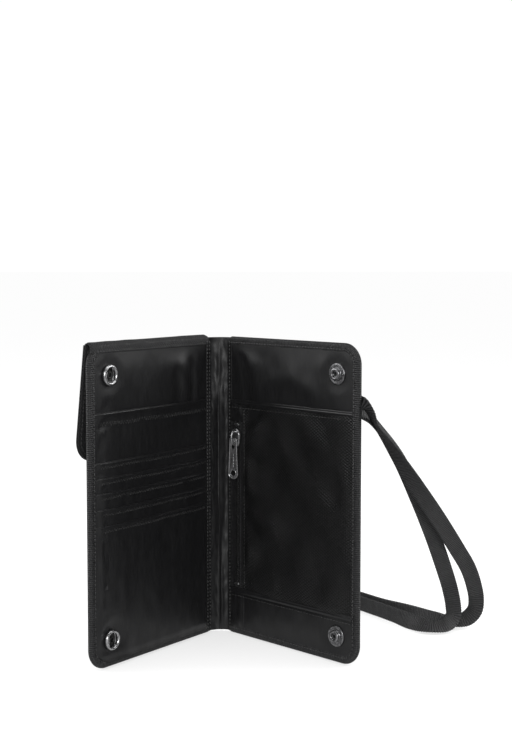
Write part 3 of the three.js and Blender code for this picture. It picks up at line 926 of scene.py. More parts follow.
def binding(cover):
    """Tape folded over the three free edges, puffed over the edge and pleated at corners."""
    name = cover.body + "_binding"
    places, normals, travel = edge_path(3)
    corner = in_corner(places)
    pleats = corner * (0.5 + 0.5 * np.sin(2 * math.pi * travel / 2.7)) ** 2
    waves = 0.2 * ripple(travel, 0 * travel, 9, 1, 61 + cover.side)
    puff = 0.1
    profile = [
        (BINDING_WIDTH, LINING_FACE + 0.1), (BINDING_WIDTH, BINDING_FACE - 0.4),
        (BINDING_WIDTH - 0.3, BINDING_FACE - 0.2), (BINDING_STITCH + 0.5, BINDING_FACE - 0.05),
        (BINDING_STITCH, BINDING_FACE - 0.12), (BINDING_STITCH - 0.6, BINDING_FACE),
        (2.4, BINDING_FACE + puff), (1.3, BINDING_FACE + puff), (0.5, BINDING_FACE), (0, 2), (-0.15, 1.1),
        (0, 0.3), (0.5, BINDING_OUTSIDE), (1.5, BINDING_OUTSIDE - 0.15), (2.8, BINDING_OUTSIDE - 0.12),
        (BINDING_STITCH, BINDING_OUTSIDE + 0.1), (BINDING_WIDTH - 0.5, BINDING_OUTSIDE),
        (BINDING_WIDTH, BINDING_OUTSIDE + 0.2), (BINDING_WIDTH, 0.1), (1, 0.4), (1, 2.0),
    ]
    verts, cloth = [], []
    for k, (inset, depth) in enumerate(profile):
        face = 1 if depth > 1.1 else -1
        shown = (inset < BINDING_WIDTH - 0.1) and k < len(profile) - 3
        reach = math.sin(math.pi * min(1, max(0, inset - 0.6) / (BINDING_WIDTH - 0.6)))
        lift = (0.5 * pleats + waves) * reach * face if shown else 0 * travel
        inward = np.clip(inset + 0.25 * waves * (inset > 3), None, BINDING_WIDTH + 0.3)
        at = places - normals * inward[:, None]
        verts.append(cover.at(at[:, 0], depth + lift, at[:, 1]))
        cloth.append(np.stack([np.full_like(travel, k * 0.7), travel, 0 * travel], -1) * MM)
    verts = np.stack(verts, 1)
    cloth = np.stack(cloth, 1)
    faces = tube_faces(len(travel), len(profile))
    bag = Bag().add(verts, faces, cloth)
    bag.piece(name + "_tape", "binding", "binding", cover.body, [name])
    thread = Bag()
    line = places - normals * BINDING_STITCH
    cover.sew(thread, line[:, 0], BINDING_FACE - 0.05, line[:, 1], radius=0.27, seed=71)
    cover.sew(thread, line[:, 0], BINDING_OUTSIDE + 0.02, line[:, 1], seed=72)
    thread.piece(cover.body + "_binding_thread", "thread", "binding", cover.body)


def hem_puckers(u, from_top, line, seed):
    """Small slanting puckers along the seam under a folded pocket mouth."""
    strength = 0.55 + 0.45 * ripple(u, 0 * u, 30, 1, seed)
    zigzag = np.abs(((u / 2.7 + 0.06 * (from_top - line)) % 1) * 2 - 1)
    band = bell(from_top - line + 1.4 * (zigzag - 0.5), 0, 1.0)
    return strength * band * (0.4 + 0.6 * zigzag)


@dataclass
class SlotPocket:
    """Satin pocket whose folded mouth stands a little off the sheet behind it."""

    name: str
    top: float
    base: float
    level: int
    hem: float
    seed: int
    nodes: list
    on_snap: bool

    def depth(self, u, z):
        below = self.top - z
        sides = ease(np.clip(np.minimum(u - SEAM_U, PANEL_END - u) / 5, 0, 1))
        sewn = 2.74 + 0.05 * self.level
        free = 3.0 + 0.31 * self.level
        wave = 0.34 * ripple(u, z, 20, 150, 81) + 0.12 * ripple(u, z, 9, 24, self.seed)
        near_binding = bell(u, 110, 5) * ripple(u, z, 14, 9, self.seed + 6)
        open_side = np.clip((u - 12) / 10, 0, 1)
        mouth = np.exp(-below / 3) * (0.45 + 0.5 * open_side + 0.2 * ripple(u, 0 * u, 40, 1, self.seed + 1))
        fold = 0.35 * bell(below, 1.2, 1.0)
        depth = sewn + sides * (free - sewn + wave + mouth + 0.5 * near_binding) + fold
        depth += 0.7 * hem_puckers(u, below, self.hem, self.seed + 2) * sides
        depth -= 1.1 * np.clip(1 - below / 1.3, 0, 1) ** 2
        depth = within_room(depth, u, 0.52)
        if self.on_snap:
            depth += 0.25 * pucker(u, z, SNAP_U, SNAP_HEIGHTS["lower"], 5, 6, self.seed + 3) * sides
            depth = seated(depth, u, z, SNAP_SEAT - 0.02 + 0.01 * self.level)
        return depth

    def rise(self, u):
        """The card slots' mouths run up a little towards the fold."""
        return (1.5 if self.level else 0.4) * np.exp(-(u - SEAM_U) / 26)

    def cloth(self):
        tall = self.top - self.base
        near = [0.12, 0.28, 0.48, 1.0, 1.2, *np.arange(0, min(13, tall - 1), 0.7)]
        rows = {round(float(r), 3) for r in [tall, *near, *np.arange(13, tall - 3, 2.4)]}
        z = self.top - np.array(sorted(rows, reverse=True))
        base_r = CORNER_R - 4.5 if self.base < 10 else 0
        grid = Outline(SEAM_U, PANEL_END, self.base, self.top, base_r, 0, 0.75, rows=z)
        depth = self.depth(grid.u, grid.z)
        grid.z = grid.z + self.rise(grid.u) * np.clip((grid.z - self.base) / tall, 0, 1)
        grid.sheet(FRONT.at, depth, depth - 0.3, self.name + "_cloth", "satin", "satin", "front_cover",
                   self.nodes)

    def hem_thread(self, bag):
        """Zigzag thread under the mouth, which sinks into the satin here and there."""
        sway = 1.35 if self.level == 0 else 0.8
        u = np.arange(SEAM_U + 2, PANEL_END - 4, 1.2)
        turn = np.where(np.arange(len(u)) % 2, 1.0, -1.0)
        z = self.top - self.hem + turn * sway + 0.3 * ripple(u, 0 * u, 30, 1, self.seed + 4)
        sunk = 0.06 - 0.12 * ripple(u, 0 * u, 12, 1, self.seed + 5)
        line = FRONT.at(u, self.depth(u, z) + np.minimum(sunk, 0.14), z + self.rise(u))
        for start, end in zip(line[:-1], line[1:]):
            stitches(bag, [start, (start + end) / 2, end], FRONT.inward(), 9, 1.2 + 1.1 * sway, 0.16, 97)


def front_pockets():
    note_nodes = ["note_pocket", "note_pocket_hem"]
    pockets = [SlotPocket("note_pocket", NOTE_TOP, POCKET_BASE, 0, 7.4, 101, note_nodes, True)]
    last = len(CARD_TOPS)
    for number, top in enumerate(CARD_TOPS, 1):
        base = POCKET_BASE if number == last else top - CARD_DEPTH
        name = f"card_pocket_{number}"
        pockets.append(SlotPocket(name, top, base, number, 3.4, 110 + 7 * number, [name], number == last))
    thread = Bag()
    for pocket in pockets:
        pocket.cloth()
        pocket.hem_thread(thread)
    thread.piece("pocket_hem_thread", "hem_thread", "satin", "front_cover")


def seam_threads():
    """Rows of stitches beside the fold on both covers: two inside on the front cover, one inside on the back,
    and one outside on each.
    """
    z = np.linspace(2.5, 197.5, 60)
    for cover in (FRONT, BACK):
        bag = Bag()
        depth = 3.15 if cover is FRONT else 3.0
        for u in ((SEAM_U - 1.6, SEAM_U + 0.9) if cover is FRONT else (SEAM_U - 0.6,)):
            cover.sew(bag, u, depth + 0.35, z, 2.4, 1.6, 0.32, 131)
        cover.sew(bag, SEAM_U, -0.35, z, 2.5, 1.9, 0.2, 132)
        bag.piece(cover.body + "_seam_thread", "thread", "outer_fabric", cover.body)


# ---------------------------------------------------------------- spine

def spine_line(inner):
    """Cross-section of the spine from seam to seam, as x and y in mm."""
    radius = (SPINE_HALF ** 2 + SPINE_BULGE ** 2) / (2 * SPINE_BULGE)
    centre_y = SPINE_Y + SPINE_BULGE - radius
    reach = math.asin(SPINE_HALF / radius)
    edge_depth = 3.0 if inner else -0.25
    arc_depth = 1.5 if inner else -0.2
    flank_u = np.linspace(SEAM_U + 0.8, 1.2, 6)
    flank_depth = np.linspace(edge_depth, arc_depth + 0.8 * inner, 6)
    left = FRONT.at(flank_u, flank_depth, 0) / MM
    right = BACK.at(flank_u[::-1], flank_depth[::-1], 0) / MM
    angle = np.linspace(-reach * 0.86, reach * 0.86, 24)
    arc = np.stack([SPINE_X + (radius - arc_depth) * np.sin(angle),
                    centre_y + (radius - arc_depth) * np.cos(angle), 0 * angle], -1)
    line = np.concatenate([left, arc, right])[:, :2]
    travelled = way_along(line)
    marks = np.linspace(0, travelled[-1], 90)
    eased = at_marks(marks, travelled, line)
    for _ in range(12):
        eased[1:-1] = (eased[:-2] + 2 * eased[1:-1] + eased[2:]) / 4
    return eased, marks


def spine_pleats(s, z, total):
    """Upright pleats of the spine lining: heights over the way across and up."""
    share = s / total
    wander = 0.02 * np.sin(z / 31 + 0.6) + 0.008 * np.sin(z / 9)
    high = np.clip((z - 150) / 25, 0, 1)
    low = np.clip((75 - z) / 40, 0, 1)

    def fold(centre, width, power=2):
        return np.exp(-np.abs((share - centre) / width) ** power)

    left = 1.9 * fold(0.26 + wander, 0.17, 2.6) * (1 - 0.6 * high) * (1 - 0.4 * low)
    right = 1.5 * fold(0.7 - wander, 0.12) * (1 - 0.5 * high) * (1 - 0.3 * low)
    ridge = 1.9 * fold(0.5 + wander, 0.09) * high + 2.0 * fold(0.56 + wander, 0.07) * low
    gusset = 1.3 * fold(0.5, 0.32, 3) * bell(z, 160, 13)
    groove = 0.7 * fold(0.5 + wander, 0.04) * (1 - high) * (1 - low)
    upset = 4 * share + 1.2 * ripple(z, 0 * z, 30, 1, 143)
    gather = 0.45 * np.sin(2 * math.pi * z / 10 + upset) * fold(0.26, 0.19, 3)
    gather += 0.35 * np.sin(2 * math.pi * z / 11 - upset) * fold(0.72, 0.12)
    small = 0.14 * ripple(s, z, 5, 9, 141)
    ends = np.clip(np.minimum(z, HEIGHT - z) / 12, 0.3, 1)
    flat = np.clip(np.minimum(share, 1 - share) / 0.08, 0, 1)
    return ((left + right + ridge + gusset - groove) * ends + gather + small) * flat


def spine_strip(inner):
    line, marks = spine_line(inner)
    normal = line_normals(line) * (1 if inner else -1)
    z = spread(0.6, HEIGHT - 0.6, 2.0)
    s_grid, z_grid = np.meshgrid(marks, z)
    if inner:
        lift = spine_pleats(s_grid, z_grid, marks[-1])
    else:
        calm = np.clip(np.minimum(s_grid, marks[-1] - s_grid) / 3, 0, 1)
        lift = 0.15 + 0.22 * ripple(s_grid, z_grid, 7, 40, 151) * calm
    thickness = 0.35
    places = []
    for offset in (lift, lift - thickness):
        flat = line[None, :, :] + normal[None, :, :] * offset[..., None]
        places.append(np.concatenate([flat, z_grid[..., None]], -1) * MM)
    cloth = np.stack([s_grid, z_grid, 0 * s_grid], -1) * MM
    middle = len(marks) // 2
    halves = {"front": slice(0, middle + 1), "back": slice(middle, None)}
    for half, part in halves.items():
        cover = FRONT if half == "front" else BACK
        index = np.arange(len(z) * len(marks[part])).reshape(len(z), -1)
        verts = np.concatenate([p[:, part].reshape(-1, 3) for p in places])
        faces = shell_faces(index)
        bag = Bag().add(verts, faces, np.concatenate([cloth[:, part].reshape(-1, 3)] * 2))
        node = "spine_lining" if inner else "spine_shell"
        look, slot = ("spine_satin", "satin") if inner else ("fabric", "outer_fabric")
        made = bag.piece(f"{node}_{half}_half", look, slot, None, [node])
        start = cover.at(SEAM_U, 0, 0)
        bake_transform(made)


# ---------------------------------------------------------------- zip and zip pocket

def panel_relief(u, z):
    """Slack of the zip pocket's panel: slanting soft folds."""
    relief = 0.75 * ripple(u, z, 34, 34, 161) + 0.18 * ripple(u, z, 15, 20, 162)
    relief += 1.2 * bell(u, 25, 9) * ripple(u, z, 40, 19, 163)
    relief += 1.7 * crease(u, z, [(18, 106), (26, 100), (38, 96)], 9)
    relief += 1.7 * crease(u, z, [(26, 82), (40, 76), (56, 72)], 9)
    relief -= 0.6 * crease(u, z, [(30, 94), (44, 86), (60, 78)], 8)
    relief += 1.8 * crease(u, z, [(70, 96), (88, 94), (106, 88)], 9)
    relief -= 0.6 * crease(u, z, [(66, 84), (84, 78), (100, 72)], 8)
    relief += 0.8 * crease(u, z, [(106, 140), (108, 110), (107, 70)], 5)
    return relief


def zip_pocket():
    grid = Outline(ZIP_POCKET_START, PANEL_END, ZIP_POCKET_BASE, ZIP_POCKET_TOP - 1, 0, 0, 1.6)
    calm = np.clip(grid.border / 6, 0, 1)
    depth = 3.05 + calm * (0.45 + panel_relief(grid.u, grid.z)) - grid.rounded(0.3)
    depth = within_room(depth, grid.u, 0.44)
    grid.sheet(BACK.at, depth, 2.4, "zip_pocket_panel", "panel", "outer_fabric", "back_cover", ["zip_pocket"])
    head = Outline(SEAM_U, ZIP_POCKET_START + 0.6, ZIP_HEAD_BASE, ZIP_POCKET_TOP - 0.5, 0, 0, 0.8)
    calm = np.clip(head.border / 3, 0, 1)
    depth = 3.05 + calm * (0.35 + 0.45 * ripple(head.u, head.z, 9, 8, 171)) - head.rounded(0.3)
    head.sheet(BACK.at, depth, 2.4, "zip_head_cloth", "satin", "satin", "back_cover", ["zip_head_panel"])


def pocket_bands():
    """Folded satin bands along the top and the base of the zip pocket."""
    bands = {
        "top": (ZIP_POCKET_TOP - 3.7, ZIP_POCKET_TOP, 3.7),
        "base": (ZIP_POCKET_BASE - 0.4, ZIP_POCKET_BASE + 3.6, 3.75),
    }
    thread = Bag()
    for name, (low, high, face) in bands.items():
        rows = np.linspace(low, high, 15)
        grid = Outline(SEAM_U, PANEL_END, low, high, 0, 0, 1.2, rows=rows)
        share = (grid.z - low) / (high - low)
        roll = np.sin(math.pi * np.clip(share, 0, 1)) ** 0.6
        depth = 2.9 + (face - 2.9) * roll
        depth += 0.12 * ripple(grid.u, grid.z, 16, 9, 181) * roll - 0.35 * bell(share, 0.62, 0.1)
        grid.sheet(BACK.at, depth, 2.7, f"zip_pocket_{name}_roll", "satin", "satin", "back_cover",
                   [f"zip_pocket_{name}_band"])
    u = np.linspace(SEAM_U + 1, PANEL_END - 0.5, 40)
    BACK.sew(thread, u, 3.55, ZIP_POCKET_TOP - 5.4, 2.6, 2.0, 0.19, 191)
    BACK.sew(thread, u, 3.5, ZIP_POCKET_BASE - 1.9, 2.6, 2.0, 0.17, 192)
    z = np.linspace(ZIP_POCKET_BASE + 4, ZIP_POCKET_TOP - 6, 40)
    BACK.sew(thread, ZIP_POCKET_START + 1.6, 3.45, z, 2.4, 1.8, 0.17, 193)
    thread.piece("zip_pocket_thread", "thread", "outer_fabric", "back_cover")


def zip_tapes():
    for side, sign in (("spine", -1), ("pocket", 1)):
        left, right = sorted((ZIP_U + sign * 0.1, ZIP_U + sign * (ZIP_TAPE_HALF + 1.2)))
        grid = Outline(left, right, ZIP_BASE - 5.5, 144.5, 0, 0, 0.55,
                       rows=np.linspace(ZIP_BASE - 5.5, 144.5, 90))
        away = np.abs(grid.u - ZIP_U)
        ridge = 0.45 * bell(away, 2.1, 0.45)
        depth = 2.85 + ridge + 0.1 * ripple(grid.u, grid.z, 6, 18, 201) - 0.1 * (away < 0.4)
        grid.sheet(BACK.at, depth, 2.35, f"zip_tape_{side}_twill", "zip_tape", "zip_tape", "back_cover",
                   [f"zip_tape_{side}_side"])
    base = Outline(SEAM_U, ZIP_POCKET_START + 0.6, 2.5, ZIP_BASE - 3.6, 0, 0, 1.1)
    calm = np.clip(base.border / 3, 0, 1)
    depth = 2.9 + calm * (0.3 + 0.3 * ripple(base.u, base.z, 7, 12, 211)) - base.rounded(0.3)
    base.sheet(BACK.at, depth, 2.3, "zip_foot_cloth", "satin", "satin", "back_cover")


def zip_coil():
    """Interlocked coil teeth from the bottom stop to the top stop."""
    pitch = 1.25
    bag = Bag()
    sides = 6
    turns = full_turn(sides)
    stations = np.linspace(0, math.pi, 7)
    for k, z in enumerate(np.arange(ZIP_BASE + 2, ZIP_TOP - 2, pitch / 2)):
        sign = 1 if k % 2 else -1
        ring = []
        for a in stations:
            u = ZIP_U + sign * (0.55 - 0.95 * math.cos(a))
            depth = 3.05 + 0.62 * math.sin(a)
            for turn in turns:
                out = 0.3 * math.cos(turn)
                across = u - sign * out * math.cos(a)
                ring.append(BACK.at(across, depth + out * math.sin(a), z + 0.3 * math.sin(turn)))
        bag.add(ring, tube_faces(len(stations), sides))
    bag.piece("zip_coil_teeth", "nylon", "zip_plastic", "back_cover", ["zip_coil"])


# ---------------------------------------------------------------- small metal

def plate(outline, holes, thickness, bevel, place):
    """Flat plate with round edges: verts and faces. place takes u, depth and z arrays."""
    curve = bpy.data.curves.new("plate", "CURVE")
    curve.dimensions = "2D"
    curve.fill_mode = "BOTH"
    curve.extrude = max(0.0, thickness / 2 - bevel)
    curve.bevel_depth = bevel
    curve.bevel_resolution = 2
    curve.offset = -bevel
    for points in (outline, *holes):
        spline = curve.splines.new("POLY")
        spline.points.add(len(points) - 1)
        for point, (u, z) in zip(spline.points, points):
            point.co = (u, z, 0, 1)
        spline.use_cyclic_u = True
    holder = linked("plate", curve)
    bpy.context.view_layer.update()
    made = bpy.data.meshes.new_from_object(holder.evaluated_get(bpy.context.evaluated_depsgraph_get()))
    bpy.data.objects.remove(holder)
    shape = bmesh.new()
    shape.from_mesh(made)
    bmesh.ops.remove_doubles(shape, verts=shape.verts, dist=1e-4)
    shape.to_mesh(made)
    shape.free()
    flat = np.array([v.co for v in made.vertices])
    faces = [tuple(p.vertices) for p in made.polygons]
    bpy.data.meshes.remove(made)
    return place(flat[:, 0], flat[:, 2], flat[:, 1]), faces


def circle(centre, radius):
    return arc(centre, radius, full_turn(32))


def turned(bag, place, profile, u, z, depth, inward, segments=56):
    """Adds a turned body of radii and heights: solid if it starts on its axis, else a ring."""
    turns = full_turn(segments)
    solid = profile[0][0] == 0
    rings = [place(u + r * np.cos(turns), depth + inward * h, z + r * np.sin(turns))
             for r, h in (profile[1:-1] if solid else profile)]
    verts = np.concatenate(rings)
    index = np.arange(len(verts)).reshape(len(rings), segments)
    index = np.concatenate([index, index[:, :1]], 1)
    if not solid:
        return bag.add(verts, grid_faces(np.concatenate([index, index[:1]], 0)))
    heights = np.array([profile[0][1], profile[-1][1]])
    poles = place(np.array([u, u]), depth + inward * heights, np.array([z, z]))
    first, last = len(verts), len(verts) + 1
    faces = grid_faces(index)
    faces += [(first, index[0, k + 1], index[0, k]) for k in range(segments)]
    faces += [(last, index[-1, k], index[-1, k + 1]) for k in range(segments)]
    return bag.add(np.concatenate([verts, poles]), faces)


def bead(bag, place, u, depth, z, radius, squash):
    profile = [(radius * math.sin(a), -radius * squash * math.cos(a)) for a in np.linspace(0, math.pi, 6)]
    profile[0] = (0, profile[0][1])
    profile[-1] = (0, profile[-1][1])
    turned(bag, place, profile, u, z, depth, 1, 10)


def wire(bag, points, radius, sides=8):
    """Adds a round wire along points, in metres."""
    points = np.asarray(points, float)
    along = unit(np.gradient(points, axis=0))
    up = np.array([0.1, 0.2, 0.97])
    side = unit(np.cross(along, up))
    over = np.cross(side, along)
    turns = full_turn(sides)
    ring = [points + (side * math.cos(t) + over * math.sin(t)) * radius * MM for t in turns]
    bag.add(np.stack(ring, 1).reshape(-1, 3), tube_faces(len(points), sides))


def snap_caps(cover, prefix):
    for place, z in SNAP_HEIGHTS.items():
        bag = Bag()
        profile = [(0, 1.5), (2, 1.48), (3.9, 1.34), (5.2, 1.02), (5.95, 0.6), (6.25, 0.15), (6.2, -0.1),
                   (5.6, -0.15), (0, -0.15)]
        turned(bag, cover.at, profile, SNAP_U, z, -0.12, -1)
        ring = [(5.05, 1.0), (5.2, 1.2), (5.45, 1.12), (5.5, 0.85), (5.2, 0.8)]
        turned(bag, cover.at, ring, SNAP_U, z, -0.12, -1)
        name = f"{prefix}_cap_{place}"
        bag.piece(name + "_dome", "gunmetal", "gunmetal", cover.body, [name], 50)


def sockets():
    """Socket halves: a bright rolled ring round a well painted near black as painted shade, with two spring
    wires.
    """
    for place, z in SNAP_HEIGHTS.items():
        bag = Bag()
        ring = [(4.6, 0.1), (4.5, 1.2), (4.6, 1.8), (4.95, 2.3), (5.45, 2.5), (6.0, 2.3), (6.4, 1.8),
                (6.5, 1.1), (6.3, 0.3), (5.6, -0.1)]
        turned(bag, FRONT.at, ring, SNAP_U, z, SNAP_SEAT, 1)
        bag.piece(f"socket_{place}_ring", "nickel", "nickel", "front_cover", [f"socket_{place}"], 60)
        # The well is painted near black: painted shade in the socket's hollow, which is really nickel like
        # the ring.
        well = Bag()
        floor = [(0, 0.15), (1.15, 0.15), (1.2, 0.9), (1.5, 1.15), (2.0, 1.1), (2.2, 0.8), (2.3, 0.4),
                 (4.0, 0.35), (4.58, 0.7), (4.6, -0.05), (0, -0.05)]
        turned(well, FRONT.at, floor, SNAP_U, z, SNAP_SEAT, 1)
        well.piece(f"socket_{place}_well", "painted_shade_metal", "nickel", "front_cover", (), 60)
        spring = Bag()
        for sign in (-1, 1):
            reach = np.linspace(-1, 1, 17)
            u = SNAP_U + sign * (2.45 + 0.5 * (1 - reach ** 2))
            run = z + reach * 3.9
            wire(spring, FRONT.at(u, SNAP_SEAT + 0.92, run), 0.2)
        spring.piece(f"socket_{place}_spring", "nickel", "nickel", "front_cover", [f"socket_spring_{place}"])


def studs():
    """Stud halves: a beaded flange under a hollow post with a rolled head."""
    for place, z in SNAP_HEIGHTS.items():
        bag = Bag()
        flange = [(0, 0.9), (3.2, 0.9), (4.3, 0.72), (5.2, 0.75), (5.9, 0.95), (6.45, 0.85), (6.75, 0.45),
                  (6.6, 0.0), (0, 0.0)]
        turned(bag, BACK.at, flange, SNAP_U, z, SNAP_SEAT, 1)
        head = [(2.0, 0.7), (1.95, 2.2), (2.05, 2.75), (2.5, 3.0), (3.1, 3.0), (3.65, 2.8), (3.95, 2.35),
                (3.85, 1.9), (3.5, 1.6), (3.5, 1.1), (3.9, 0.75)]
        turned(bag, BACK.at, head, SNAP_U, z, SNAP_SEAT, 1)
        inner = [(1.25, 0.8), (1.2, 1.7), (1.35, 1.95), (1.6, 1.95), (1.75, 1.7), (1.8, 0.8)]
        turned(bag, BACK.at, inner, SNAP_U, z, SNAP_SEAT, 1, 32)
        for u, height in arc((SNAP_U, z), 5.05, full_turn(22)):
            bead(bag, BACK.at, u, SNAP_SEAT + 0.85, height, 0.34, 0.8)
        bag.piece(f"stud_{place}_post", "stud_metal", "gunmetal", "back_cover", [f"stud_{place}"], 60)
        # Disc at the bottom of the hollow post, painted near black: painted shade in the hole, which is
        # really gunmetal like the post.
        well = Bag()
        turned(well, BACK.at, [(0, 1.02), (1.9, 1.0), (1.9, 0.92), (0, 0.92)], SNAP_U, z, SNAP_SEAT, 1, 32)
        well.piece(f"stud_{place}_well", "painted_shade_metal", "gunmetal", "back_cover")


def oval_outline(points):
    """Rounds a list of corner points into a smooth closed outline."""
    points = np.asarray(points, float)
    for _ in range(3):
        following = np.roll(points, -1, 0)
        pair = [0.75 * points + 0.25 * following, 0.25 * points + 0.75 * following]
        points = np.stack(pair, 1).reshape(-1, 2)
    return [tuple(p) for p in points]


def zip_slider():
    """Shield-shaped slider with raised rims and an arched bridge for the pull."""
    u0, z0 = ZIP_U, SLIDER_Z
    body = Bag()
    corners = [(-2.6, -5.9), (0, -6.1), (2.6, -5.9), (3.4, -3.4), (4.3, 0.6), (3.9, 3.4), (2.2, 5.4),
               (0, 6.2), (-2.2, 5.4), (-3.9, 3.4), (-4.3, 0.6), (-3.4, -3.4)]
    shield = oval_outline([(u0 + a, z0 + b) for a, b in corners])
    body.add(*plate(shield, [], 1.5, 0.4, lambda u, d, z: BACK.at(u, 4.5 + d, z)))
    rim = np.array(shield + shield[:1])
    centre = np.array([u0, z0])
    rim = centre + (rim - centre) * 0.9
    wire(body, BACK.at(rim[:, 0], 5.3, rim[:, 1]), 0.42)
    reach = np.linspace(0, math.pi, 19)
    arch_z = 133.3 + 3.9 * np.cos(reach)
    arch_d = 5.2 + 3.5 * np.sin(reach) ** 0.55
    wire(body, BACK.at(np.full_like(reach, u0), arch_d, arch_z), 0.62, 10)
    body.piece("zip_slider_body", "gunmetal", "gunmetal", "zip_slider", ["zip_slider"], 55)


def pull_place(u, depth, z):
    """Places a point of the pull's own frame: it hangs turned a little to the open side."""
    across = u * math.cos(PULL_TWIST) + depth * math.sin(PULL_TWIST)
    inward = PULL_PIVOT_DEPTH + depth * math.cos(PULL_TWIST) - u * math.sin(PULL_TWIST)
    return BACK.at(ZIP_U + across, inward, PULL_PIVOT_Z + z)


def pull_outline(inset):
    """Outline of the pull: straight sides and a round end."""
    top = 0.8 - inset
    end = 3.7
    centre = end - PULL_LENGTH
    rounded = arc((0, centre), end - inset, np.linspace(math.pi, 2 * math.pi, 18)[1:-1])
    return [(-2.8 + inset, top), (-end + inset, centre), *rounded, (end - inset, centre), (2.8 - inset, top)]


def dense(points):
    """Closed outline with points half a millimetre apart."""
    loop = np.array(points + points[:1], float)
    travelled = way_along(loop)
    return at_marks(np.linspace(0, travelled[-1], max(8, round(travelled[-1] / 0.5))), travelled, loop)


def zip_pull():
    """Pull: a thin recessed plate in a bright raised frame, with an eye and a round hole."""
    bag = Bag()
    window = [(-1.5, -0.8), (1.5, -0.8), (1.5, -6.3), (-1.5, -6.3)]
    hole = circle(PULL_HOLE, 1.9)
    bag.add(*plate(pull_outline(0.25), [window, hole], 0.7, 0.12, pull_place))
    frame_line = dense(pull_outline(0.45))
    wire(bag, pull_place(frame_line[:, 0], 0.12, frame_line[:, 1]), 0.5)
    ring = dense(circle(PULL_HOLE, 2.15))
    wire(bag, pull_place(ring[:, 0], 0.12, ring[:, 1]), 0.34)
    eye = dense(window)
    wire(bag, pull_place(eye[:, 0], 0.05, eye[:, 1]), 0.36)
    for k in range(5):
        bead(bag, pull_place, 0, 0.35, -10.2 - 1.9 * k, 0.55, 0.4)
    bag.piece("zip_pull_tab", "gunmetal", "gunmetal", "zip_pull", ["zip_pull"], 55)


def zip_stops():
    for name, z in (("top", ZIP_TOP), ("bottom", ZIP_BASE)):
        bag = Bag()
        corners = [(-2.2, -0.9), (2.2, -0.9), (2.2, 0.9), (-2.2, 0.9)]
        outline = oval_outline([(ZIP_U + a, z + b) for a, b in corners])
        bag.add(*plate(outline, [], 1.5, 0.35, lambda u, d, zz: BACK.at(u, 3.6 + d, zz)))
        bag.piece(f"zip_{name}_stop_clip", "gunmetal", "gunmetal", "back_cover", [f"zip_{name}_stop"], 55)


# ---------------------------------------------------------------- outside

def outer_pocket():
    grid = Outline(3.2, PANEL_END, POCKET_BASE, OUTER_POCKET_TOP, CORNER_R - 4.5, 0, 1.8)
    calm = np.clip(grid.border / 7, 0, 1)
    relief = 0.3 + 0.25 * ripple(grid.u, grid.z, 45, 60, 221)
    outside = -(0.75 + calm * relief + 0.15 * bell(grid.from_top, 1, 1.0) - grid.rounded(0.35))
    for z in SNAP_HEIGHTS.values():
        distance = np.hypot(grid.u - SNAP_U, grid.z - z)
        outside = -0.12 + (outside + 0.12) * np.clip((distance - SNAP_REACH) / 3, 0, 1)
    grid.sheet(FRONT.at, -0.1, outside, "outer_pocket_cloth", "fabric", "outer_fabric", "front_cover",
               ["outer_pocket"])
    strip = Outline(6, 114, OUTER_POCKET_TOP - CLOSURE_HEIGHT, OUTER_POCKET_TOP - 1, 0, 0, 1.5)
    fuzz = 0.12 * ripple(strip.u, strip.z, 2.2, 2.2, 231, 30)
    outside = -(1.55 + fuzz - strip.rounded(0.4))
    strip.sheet(FRONT.at, -0.9, outside, "closure_loop_pile", "loop", "hook_and_loop", "front_cover",
                ["closure_loop_strip"])
    thread = Bag()
    u = np.linspace(7, 113, 30)
    for z in (OUTER_POCKET_TOP - CLOSURE_HEIGHT + 1.5, OUTER_POCKET_TOP - 2.6):
        FRONT.sew(thread, u, -1.62, z, 2.6, 2, 0.2, 241)
    thread.piece("outer_pocket_thread", "thread", "outer_fabric", "front_cover")


def flap_grid(inset, step):
    rows = spread(-FLAP_LENGTH + inset, -1.2, step, (0, 0.12, 0.35, 0.8, 1.6, 2.8, 4.4))
    return Outline(1 + inset, WIDTH - 1 - inset, -FLAP_LENGTH + inset, -1.2, FLAP_R - inset, 0, step,
                   rows=rows, both=True)


def flap():
    grid = flap_grid(0, 1.8)
    relief = 0.22 * ripple(grid.u, grid.z, 50, 40, 251)
    calm = np.clip(grid.border / 8, 0, 1)
    outside = -(1.0 + calm * (0.25 + relief) - grid.rounded(0.5))
    grid.sheet(flap_at, -0.02, outside, "flap_shell_cloth", "fabric", "outer_fabric", "flap", ["flap_shell"])
    grid = flap_grid(0.5, 1.8)
    calm = np.clip(grid.border / 6, 0, 1)
    face = 0.6 + 0.1 * ripple(grid.u, grid.z, 30, 30, 261) * calm - grid.rounded(0.4)
    grid.sheet(flap_at, face, -0.01, "flap_lining_cloth", "fabric", "outer_fabric", "flap", ["flap_lining"])
    thread = Bag()
    u, z = flap_stitch_line(3.0)
    stitches(thread, flap_at(u, -1.28, z), -FRONT.inward(), 2.8, 2.1, 0.22, 271)
    stitches(thread, flap_at(u, 0.68, z), FRONT.inward(), 2.8, 2.1, 0.2, 272)
    across = np.linspace(9, 111, 30)
    for height in (-60.5, -43.5):
        stitches(thread, flap_at(across, -1.4, np.full(30, height)), -FRONT.inward(), 2.6, 2, 0.2, 273)
    thread.piece("flap_thread", "thread", "outer_fabric", "flap")
    hook_strip()


def flap_stitch_line(inset):
    left = 1 + inset
    right = WIDTH - 1 - inset
    r = FLAP_R - inset
    low = -FLAP_LENGTH + inset + r
    points = [(left, -4), (left, low)]
    points += arc((left + r, low), r, np.linspace(math.pi, 1.5 * math.pi, 12))
    points += arc((right - r, low), r, np.linspace(1.5 * math.pi, 2 * math.pi, 12))
    line = np.array([*points, (right, -4)])
    return line[:, 0], line[:, 1]


